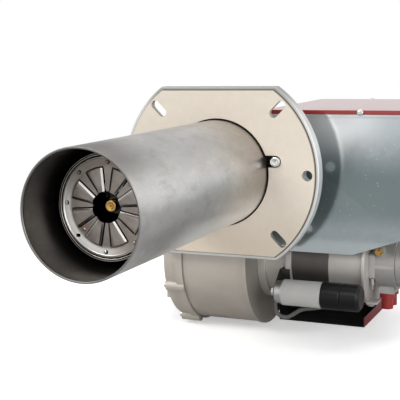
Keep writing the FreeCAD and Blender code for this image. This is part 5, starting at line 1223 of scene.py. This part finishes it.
def disc_places(radius, angles, rise=0.0):
    """Places on the disc's face, at one radius, that look to the front."""
    turns = [math.radians(angle + DISC_TURN) for angle in angles]
    return [((radius * math.cos(a), DISC_FACE - rise, radius * math.sin(a)), (0, -1, 0)) for a in turns]


def dome(name, radius, rise, foot=0.0):
    """A dome that stands on Z, with a small foot ring."""
    rings = [(-0.3, 0.0), (-0.3, radius + foot), (0.08, radius + foot), (0.18, radius)]
    for step in range(1, 7):
        a = math.radians(15 * step)
        rings.append((0.18 + (rise - 0.18) * math.sin(a), radius * math.cos(a)))
    return ringed(name, rings, 20, axis="Z")


dimple_places = places_mesh("dimple_places", disc_places(DIMPLE_RING, (0, 90, 135, 180, 270, 315), 0.4))
dimples = at_places.run("disc_dimples", finish_for("diffuser_disc"), dimple_places,
                        Piece=dome("dimple", 2.6, 1.9, 0.1), Seed=4, Turn=FULL_TURN)
add_on(dimples, "diffuser_disc")
rivet_places = places_mesh("rivet_places", disc_places(RIVET_RING, (45, 225)))
rivets = at_places.run("disc_rivet_heads", finish_for("disc_rivets"), rivet_places,
                       Piece=dome("rivet", 2.4, 1.3), Seed=5, Turn=FULL_TURN)
dress(rivets, "disc_rivets")
print(f"dimples {len(dimples.data.polygons)} faces, rivets {len(rivets.data.polygons)} faces")

# %% [markdown]
# ## Ring round the disc
# A short sleeve guides the air round the disc. Its front edge is drawn inwards and rolled into two small
# beads, which the photograph shows as two bright lines round the disc.

# %% Turn the ring
ring_box = Box("disc_ring")
front, back, outer = ring_box.front, ring_box.back, ring_box.right
ring_profile = (arc((front + 1.1, 56.0), 0.55, 320, 120) + [(front + 1.3, 56.75)]
                + arc((front + 0.8, outer - 0.8), 0.8, 240, 90)
                + [(front + 2.2, outer - 0.35), (back - 0.3, outer - 0.35), (back, outer - 0.6),
                   (back, outer - 1.4), (front + 3.0, outer - 1.45), (front + 2.2, 56.4),
                   (front + 2.0, 55.6)])
ring = ringed("disc_ring_sheet", ring_profile, 160)
wear(ring, Finish.made["ring_sheet"])
dress(ring, "disc_ring")
print(f"ring {len(ring.data.polygons)} faces")

# %% [markdown]
# ## Oil nozzle
# The nozzle is turned from brass. From the front it is a small bore in a raised boss, a groove and a flat
# face with a rounded rim, and behind them come the hexagon for the key and the thread.

# %% Turn the nozzle
NOZZLE_RADIUS, THREAD_TURNS = 6.78, 8
nozzle_box = Box("oil_nozzle")
face, back = nozzle_box.front, nozzle_box.back
boss = [(1.6, 0.0), (1.6, 0.45), (0.9, 0.45), (0.55, 0.9), (0.75, 1.1), (0.55, 2.4), (0.55, 2.9), (0.25, 3.3),
        (0.1, 3.8), (0, 4.4), (0, 5.6), (0.15, 6.1), (0.5, 6.5)]
barrel = [(1.0, NOZZLE_RADIUS), (5.0, NOZZLE_RADIUS), (5.2, 6.3), (6.0, 6.3), (6.2, NOZZLE_RADIUS, 6),
          (8.0, NOZZLE_RADIUS, 6), (8.3, 6.2), (8.6, 5.2)]
nozzle_rings = [(face + depth, *size) for depth, *size in boss + barrel]
for step in range(THREAD_TURNS):
    nozzle_rings += [(face + 9.0 + step, 5.3), (face + 9.5 + step, 4.9)]
nozzle_rings += [(back - 0.2, 5.2), (back, 4.8), (back, 0.0)]
nozzle = ringed("oil_nozzle_turned", nozzle_rings, 48)
wear(nozzle, finish_for("oil_nozzle"))
dress(nozzle, "oil_nozzle")
print(f"nozzle {len(nozzle.data.polygons)} faces")

# %% [markdown]
# ## Screws
# The cover's lugs, the rear plate and the pump's cover carry socket screws. The CAD node tells where each
# one sits: its solids are told apart by walking along their edges, always from the first point that is left,
# so that the order is the same in every run.

# %% Places of the screws
def islands(node):
    """The separate solids of a CAD node: lists of points, in millimetres."""
    shape = joined_faces(node)
    found = []
    waiting = set(shape.verts)
    for start in shape.verts:
        if start not in waiting:
            continue
        waiting.remove(start)
        stack, points = [start], []
        while stack:
            vert = stack.pop()
            points.append(vert.co / MM)
            for edge in vert.link_edges:
                other = edge.other_vert(vert)
                if other in waiting:
                    waiting.remove(other)
                    stack.append(other)
        found.append(points)
    shape.free()
    return found


def span(points, axis):
    """How far the points reach along an axis."""
    values = [point[axis] for point in points]
    return max(values) - min(values)


def screw_places(node, outward):
    """Middle of each head's outer face, with the direction it looks in, from the node's solids."""
    places = []
    for points in islands(node):
        low = [min(point[k] for point in points) for k in range(3)]
        high = [max(point[k] for point in points) for k in range(3)]
        middle = [(a + b) / 2 for a, b in zip(low, high)]
        direction = outward(middle)
        tip = [high[k] if direction[k] > 0 else low[k] if direction[k] < 0 else middle[k] for k in range(3)]
        places.append((tip, direction))
    return places


print(f"{len(islands('body_screws'))} body screws, {len(islands('pump_cover_screws'))} pump screws")


# %% [markdown]
# ## Socket heads
# A head is turned once with a chamfer and a hexagon socket: rings with six corners make the hexagon. Every
# copy gets its own turn, because no fitter leaves all sockets in line. The pump's heads take their sizes
# from the CAD's own screws.

# %% Turn and place the socket heads
def socket_screw(name, radius, height, socket, depth):
    """A cap head whose outer face lies at Z = 0 and that goes down from there."""
    rings = [(-height, 0.0), (-height, radius), (-0.7, radius), (-0.2, radius - 0.15), (0.0, radius - 0.6),
             (0.0, socket + 0.45), (-0.25, socket + 0.1, 6), (-depth, socket, 6), (-depth - 0.5, 0.0)]
    return ringed(name, rings, 30, axis="Z")


def body_screw_side(middle):
    """The cover's screws look left, the rear plate's look back."""
    return (-1, 0, 0) if middle[0] < -80 else (0, 1, 0)


def pump_screw_side(middle):
    """The pump cover's screws all look right."""
    return (1, 0, 0)


pump_screw = islands("pump_cover_screws")[0]
pump_radius, pump_height = span(pump_screw, 1) / 2, span(pump_screw, 0)
pump_socket, pump_depth = pump_radius * 0.52, min(2.4, pump_height * 0.5)
SOCKET_HEADS = {
    "body_screws": (body_screw_side, 4.4, 4.0, 2.4, 2.2),
    "pump_cover_screws": (pump_screw_side, pump_radius, pump_height, pump_socket, pump_depth),
}
for number, (node, (side, *sizes)) in enumerate(SOCKET_HEADS.items()):
    places = screw_places(node, side)
    heads = at_places.run(node + "_turned", finish_for(node), places_mesh(node + "_places", places),
                          Piece=socket_screw(node + "_head", *sizes), Seed=11 + number, Turn=FULL_TURN)
    dress(heads, node)
    print(f"{node}: {len(places)} heads of radius {sizes[0]:.2f} mm")

# %% [markdown]
# ## Screws of the slide bars
# Two cap screws hold the slide bars, and the photograph shows one of them in the gasket's notch. They are
# seen from close up, so the shank, the neck and the chamfers are turned too.

# %% Slide bar screws
HEAD_RADIUS = 6.35
bars = Box("slide_bar_screws")
bar_x, bar_z, whole = bars.right - HEAD_RADIUS, (bars.bottom + bars.top) / 2, bars.back - bars.front
head_rings = [(-whole, 0.0), (-whole, 3.6), (-7.6, 3.95), (-7.2, 3.95), (-7.2, 6.2), (-6.9, HEAD_RADIUS),
              (-0.9, HEAD_RADIUS), (-0.3, 6.1), (0.0, 5.5), (0.0, 3.3), (-0.12, 3.1), (-0.12, 0.0)]
bar_places = [((side * bar_x, bars.front, bar_z), (0, -1, 0)) for side in (1, -1)]
bar_head = ringed("bar_head", head_rings, 40, axis="Z")
bar_screws = at_places.run("slide_bar_screw_heads", finish_for("slide_bar_screws"),
                           places_mesh("bar_places", bar_places), Piece=bar_head, Seed=3, Turn=FULL_TURN)
dress(bar_screws, "slide_bar_screws")
print(f"slide bar screws at x {bar_x:.1f} mm, z {bar_z:.1f} mm")

# %% [markdown]
# ## Stator laminations
# The stator is a pack of thin steel sheets under one coat of paint. From close up the pack shows as fine
# rings, so one thin ring is copied along the motor's axis over a core that is a little smaller.

# %% Laminated stator
SHEET_PITCH, SHEET = 0.85, 0.6
stator = Box("motor_stator")
left, right_end, outer = stator.left, stator.right, stator.half_height
core_rings = [(left, outer - 7), (left, outer - 0.5), (left + 0.1, outer - 0.35),
              (right_end - 0.1, outer - 0.35), (right_end, outer - 0.5), (right_end, outer - 7)]
core = ringed("stator_core", core_rings, 120, axis="X", centre=stator.axis_point)
wear(core, finish_for("motor_stator"))
dress(core, "motor_stator")
sheet_rings = [(0.0, outer - 0.6), (0.0, outer - 0.15), (0.12, outer), (SHEET - 0.12, outer),
               (SHEET, outer - 0.15), (SHEET, outer - 0.6)]
sheet_count = int((right_end - left - 0.8) / SHEET_PITCH) + 1
first_sheet = [value * MM for value in (left + 0.2, *stator.axis_point[1:])]
pack = row_of.run("stator_sheets", finish_for("motor_stator"), Count=sheet_count, Start=first_sheet,
                  Piece=ringed("stator_sheet", sheet_rings, 96, "X"), Step=(SHEET_PITCH * MM, 0, 0))
add_on(pack, "motor_stator")
print(f"{sheet_count} laminations, {len(pack.data.polygons)} faces")

# %% [markdown]
# ## Fan wheel
# The fan is a drum of 36 blades that curve forward, between a back plate on the hub and a thin ring. The
# blade is one curved strip, so the wheel follows a rule: one blade, copied in a ring.

# %% Blades
BLADES, BLADE_DEPTH, BLADE_STEPS = 36, 13, 8
BLADE_LEAN, BLADE_BOW = 8.0, 6.5
wheel = Box("fan_wheel")
blade_inner = wheel.half_height - BLADE_DEPTH
blade = bmesh.new()
blade_rows = []
for along in (wheel.left + 0.8, (wheel.left + wheel.right) / 2, wheel.right - 0.8):
    row = []
    for step in range(BLADE_STEPS + 1):
        part = step / BLADE_STEPS
        radius = blade_inner + (wheel.half_height - 0.35 - blade_inner) * part
        turn = math.radians(BLADE_LEAN * part + BLADE_BOW * part * (1 - part))
        row.append(blade.verts.new(Vector((along, radius * math.cos(turn), radius * math.sin(turn))) * MM))
    blade_rows.append(row)
skin(blade, blade_rows)
blade_mesh = bpy.data.meshes.new("fan_blade")
blade.to_mesh(blade_mesh)
blade.free()
blade_object = linked(bpy.data.objects.new("fan_blade", blade_mesh))
strip = blade_object.modifiers.new("strip", "SOLIDIFY")
strip.thickness = 0.9 * MM
strip.offset = 0
applied(blade_object)
blades = ring_of.run("fan_blades", finish_for("fan_wheel"), Piece=blade_object, Count=BLADES, Axis=(1, 0, 0),
                     Centre=[value * MM for value in wheel.axis_point], First=0.0)
dress(blades, "fan_wheel")
print(f"{BLADES} blades, {len(blades.data.polygons)} faces")

# %% [markdown]
# ## Back plate and front ring of the fan
# The back plate with its hub and the thin ring at the open side are turned pieces. They stand beside the
# blades, which already stand for the CAD wheel, and ride on the same body.

# %% Back plate with its hub, and front ring
BORE, HUB = 6.4, 15.0
left, right_end, outer = wheel.left, wheel.right, wheel.half_height
plate_rings = [(right_end, BORE), (right_end, outer - 0.4), (right_end - 0.4, outer),
               (right_end - 1.2, outer), (right_end - 1.6, outer - 0.4), (right_end - 1.6, 24.0),
               (right_end - 3.4, 20.0),
               (right_end - 3.4, HUB), (right_end - 21.4, HUB - 0.2), (right_end - 22.0, HUB - 0.8),
               (right_end - 22.0, BORE)]
rim_rings = [(left, blade_inner + 3.3), (left, outer - 0.3), (left + 0.3, outer), (left + 1.3, outer),
             (left + 1.6, outer - 0.3), (left + 1.6, blade_inner + 3)]
for name, rings in (("fan_back_plate", plate_rings), ("fan_rim", rim_rings)):
    piece = ringed(name, rings, 120, axis="X", centre=wheel.axis_point)
    wear(piece, finish_for("fan_wheel"))
    add_on(piece, "fan_wheel")
    print(f"{name}: {len(piece.data.polygons)} faces")

# %% [markdown]
# ## Intake grille
# Fingers must not reach the damper, so the intake's mouth has slats. One slat with rounded edges is copied
# upwards between two side bars, so that the grille fills the opening.

# %% Slats and side bars
SLATS, SIDE_BAR = 10, 5


def bar(name, low, high, width):
    """A bar between two corners, in millimetres, with edges rounded by width."""
    shape = block([(a + b) / 2 for a, b in zip(low, high)], [b - a for a, b in zip(low, high)])
    bmesh.ops.bevel(shape, geom=list(shape.edges), offset=width * MM, segments=2, affect="EDGES", profile=0.5)
    mesh = bpy.data.meshes.new(name)
    shape.to_mesh(mesh)
    shape.free()
    shaded_smooth(mesh, 40)
    return bpy.data.objects.new(name, mesh)


mouth_box = Box("intake_grille")
front, back, bottom, top = mouth_box.front, mouth_box.back, mouth_box.bottom, mouth_box.top
slat_pitch = (top - bottom - 8) / (SLATS - 1)
slat = bar("slat", (mouth_box.left + 4.5, front, -2.0), (mouth_box.right - 4.5, back, 2.0), 0.35)
slats = row_of.run("grille_slats", finish_for("intake_grille"), Piece=slat, Count=SLATS,
                   Start=(0, 0, (bottom + 4) * MM), Step=(0, 0, slat_pitch * MM))
dress(slats, "intake_grille")
for side, start in (("left", mouth_box.left), ("right", mouth_box.right - SIDE_BAR)):
    side_bar = bar(f"grille_{side}_bar", (start, front, bottom), (start + SIDE_BAR, back, top), 0.35)
    wear(side_bar, finish_for("intake_grille"))
    add_on(side_bar, "intake_grille")
print(f"{SLATS} slats at a pitch of {slat_pitch:.2f} mm")

# %% [markdown]
# ## Screws of the lid
# The lid's skirt is held by slotted pan heads. The slot is cut from the master once, before the copies are
# made. The eased CAD head stays below each as its seat, so the turned head stands a little further out:
# otherwise the solid head would fill the slot.

# %% Slotted heads
HEAD_LIFT, HEAD_MORE, HEAD_RISE = 1.3, 0.7, 3.0
HALF_DRIVER = 0.75


def slotted_screw(name, radius, rise):
    """A pan head with a driver's slot, its crown HEAD_LIFT above Z = 0."""
    rings = [(-rise, 0.0), (-rise, radius - 0.1), (-rise + 0.15, radius)]
    for step in range(6):
        a = math.radians(18 * step)
        rings.append((-rise * 0.55 + rise * 0.55 * math.sin(a), radius * (0.35 + 0.65 * math.cos(a))))
    rings.append((0.0, 0.0))
    head = linked(ringed(name, rings, 28, axis="Z"))
    low, high = (-radius - 1, -HALF_DRIVER, -rise * 0.8), (radius + 1, HALF_DRIVER, 1.0)
    cut_away(head, "slot", bar(name + "_tool", low, high, 0.02))
    for corner in head.data.vertices:
        corner.co.z += HEAD_LIFT * MM
    return head


def lid_screw_side(middle):
    """The screws near the front look forward, the others back."""
    return (0, -1, 0) if middle[1] < 100 else (0, 1, 0)


lid_places = screw_places("cover_lid_screws", lid_screw_side)
lid_radius = span(islands("cover_lid_screws")[0], 0) / 2 + HEAD_MORE
lid_head = slotted_screw("lid_head", lid_radius, HEAD_RISE)
lid_heads = at_places.run("lid_screw_heads", finish_for("cover_lid_screws"),
                          places_mesh("lid_places", lid_places), Piece=lid_head, Seed=21, Turn=0.4)
dress(lid_heads, "cover_lid_screws")
print(f"{len(lid_places)} slotted heads of radius {lid_radius:.2f} mm")

# %% [markdown]
# ## Sleeve of the capacitor
# The capacitor carries a paper sleeve, left bare here. It ends where the black cap begins, so its place
# comes from the cap.

# %% Turn the sleeve
SLEEVE_LENGTH, SLEEVE_CLEARANCE, PAPER = 54.0, 0.4, 0.14
can, cap = Box("capacitor_can"), Box("capacitor_cap")
sleeve_left, sleeve_right = cap.left - SLEEVE_LENGTH, cap.left - SLEEVE_CLEARANCE
inner, outer = can.half_height - 0.05, can.half_height + PAPER
sleeve_rings = [(sleeve_left, inner), (sleeve_left, outer), (sleeve_right, outer), (sleeve_right, inner)]
sleeve = ringed("capacitor_sleeve", sleeve_rings, 96, axis="X", centre=can.axis_point)
wear(sleeve, Finish.made["paper_label"])
add_on(sleeve, "capacitor_can")
print(f"sleeve {sleeve_left:.1f} to {sleeve_right:.1f} mm")

# %% [markdown]
# ## Black sheet of painted shade on the guard
# A black sheet stands on the guard's left wall as painted shade, which the camera sees below the motor.

# %% Sheet of painted shade
# a black sheet put where there is shade below the motor
LINING_LOW, LINING_HIGH = (34.05, 145.0, -233.5), (34.6, 259.5, -172.0)
shade_lining = bar("guard_lining", LINING_LOW, LINING_HIGH, 0.05)
wear(shade_lining, Finish.made["black_moulding"])
add_on(shade_lining, "electric_box")
print(f"lining at x {LINING_LOW[0]:.1f} mm")

# %% [markdown]
# ## View transform
# The picture's colours go through the plain Standard view transform.

# %% View transform
bpy.context.scene.view_settings.view_transform = "Standard"
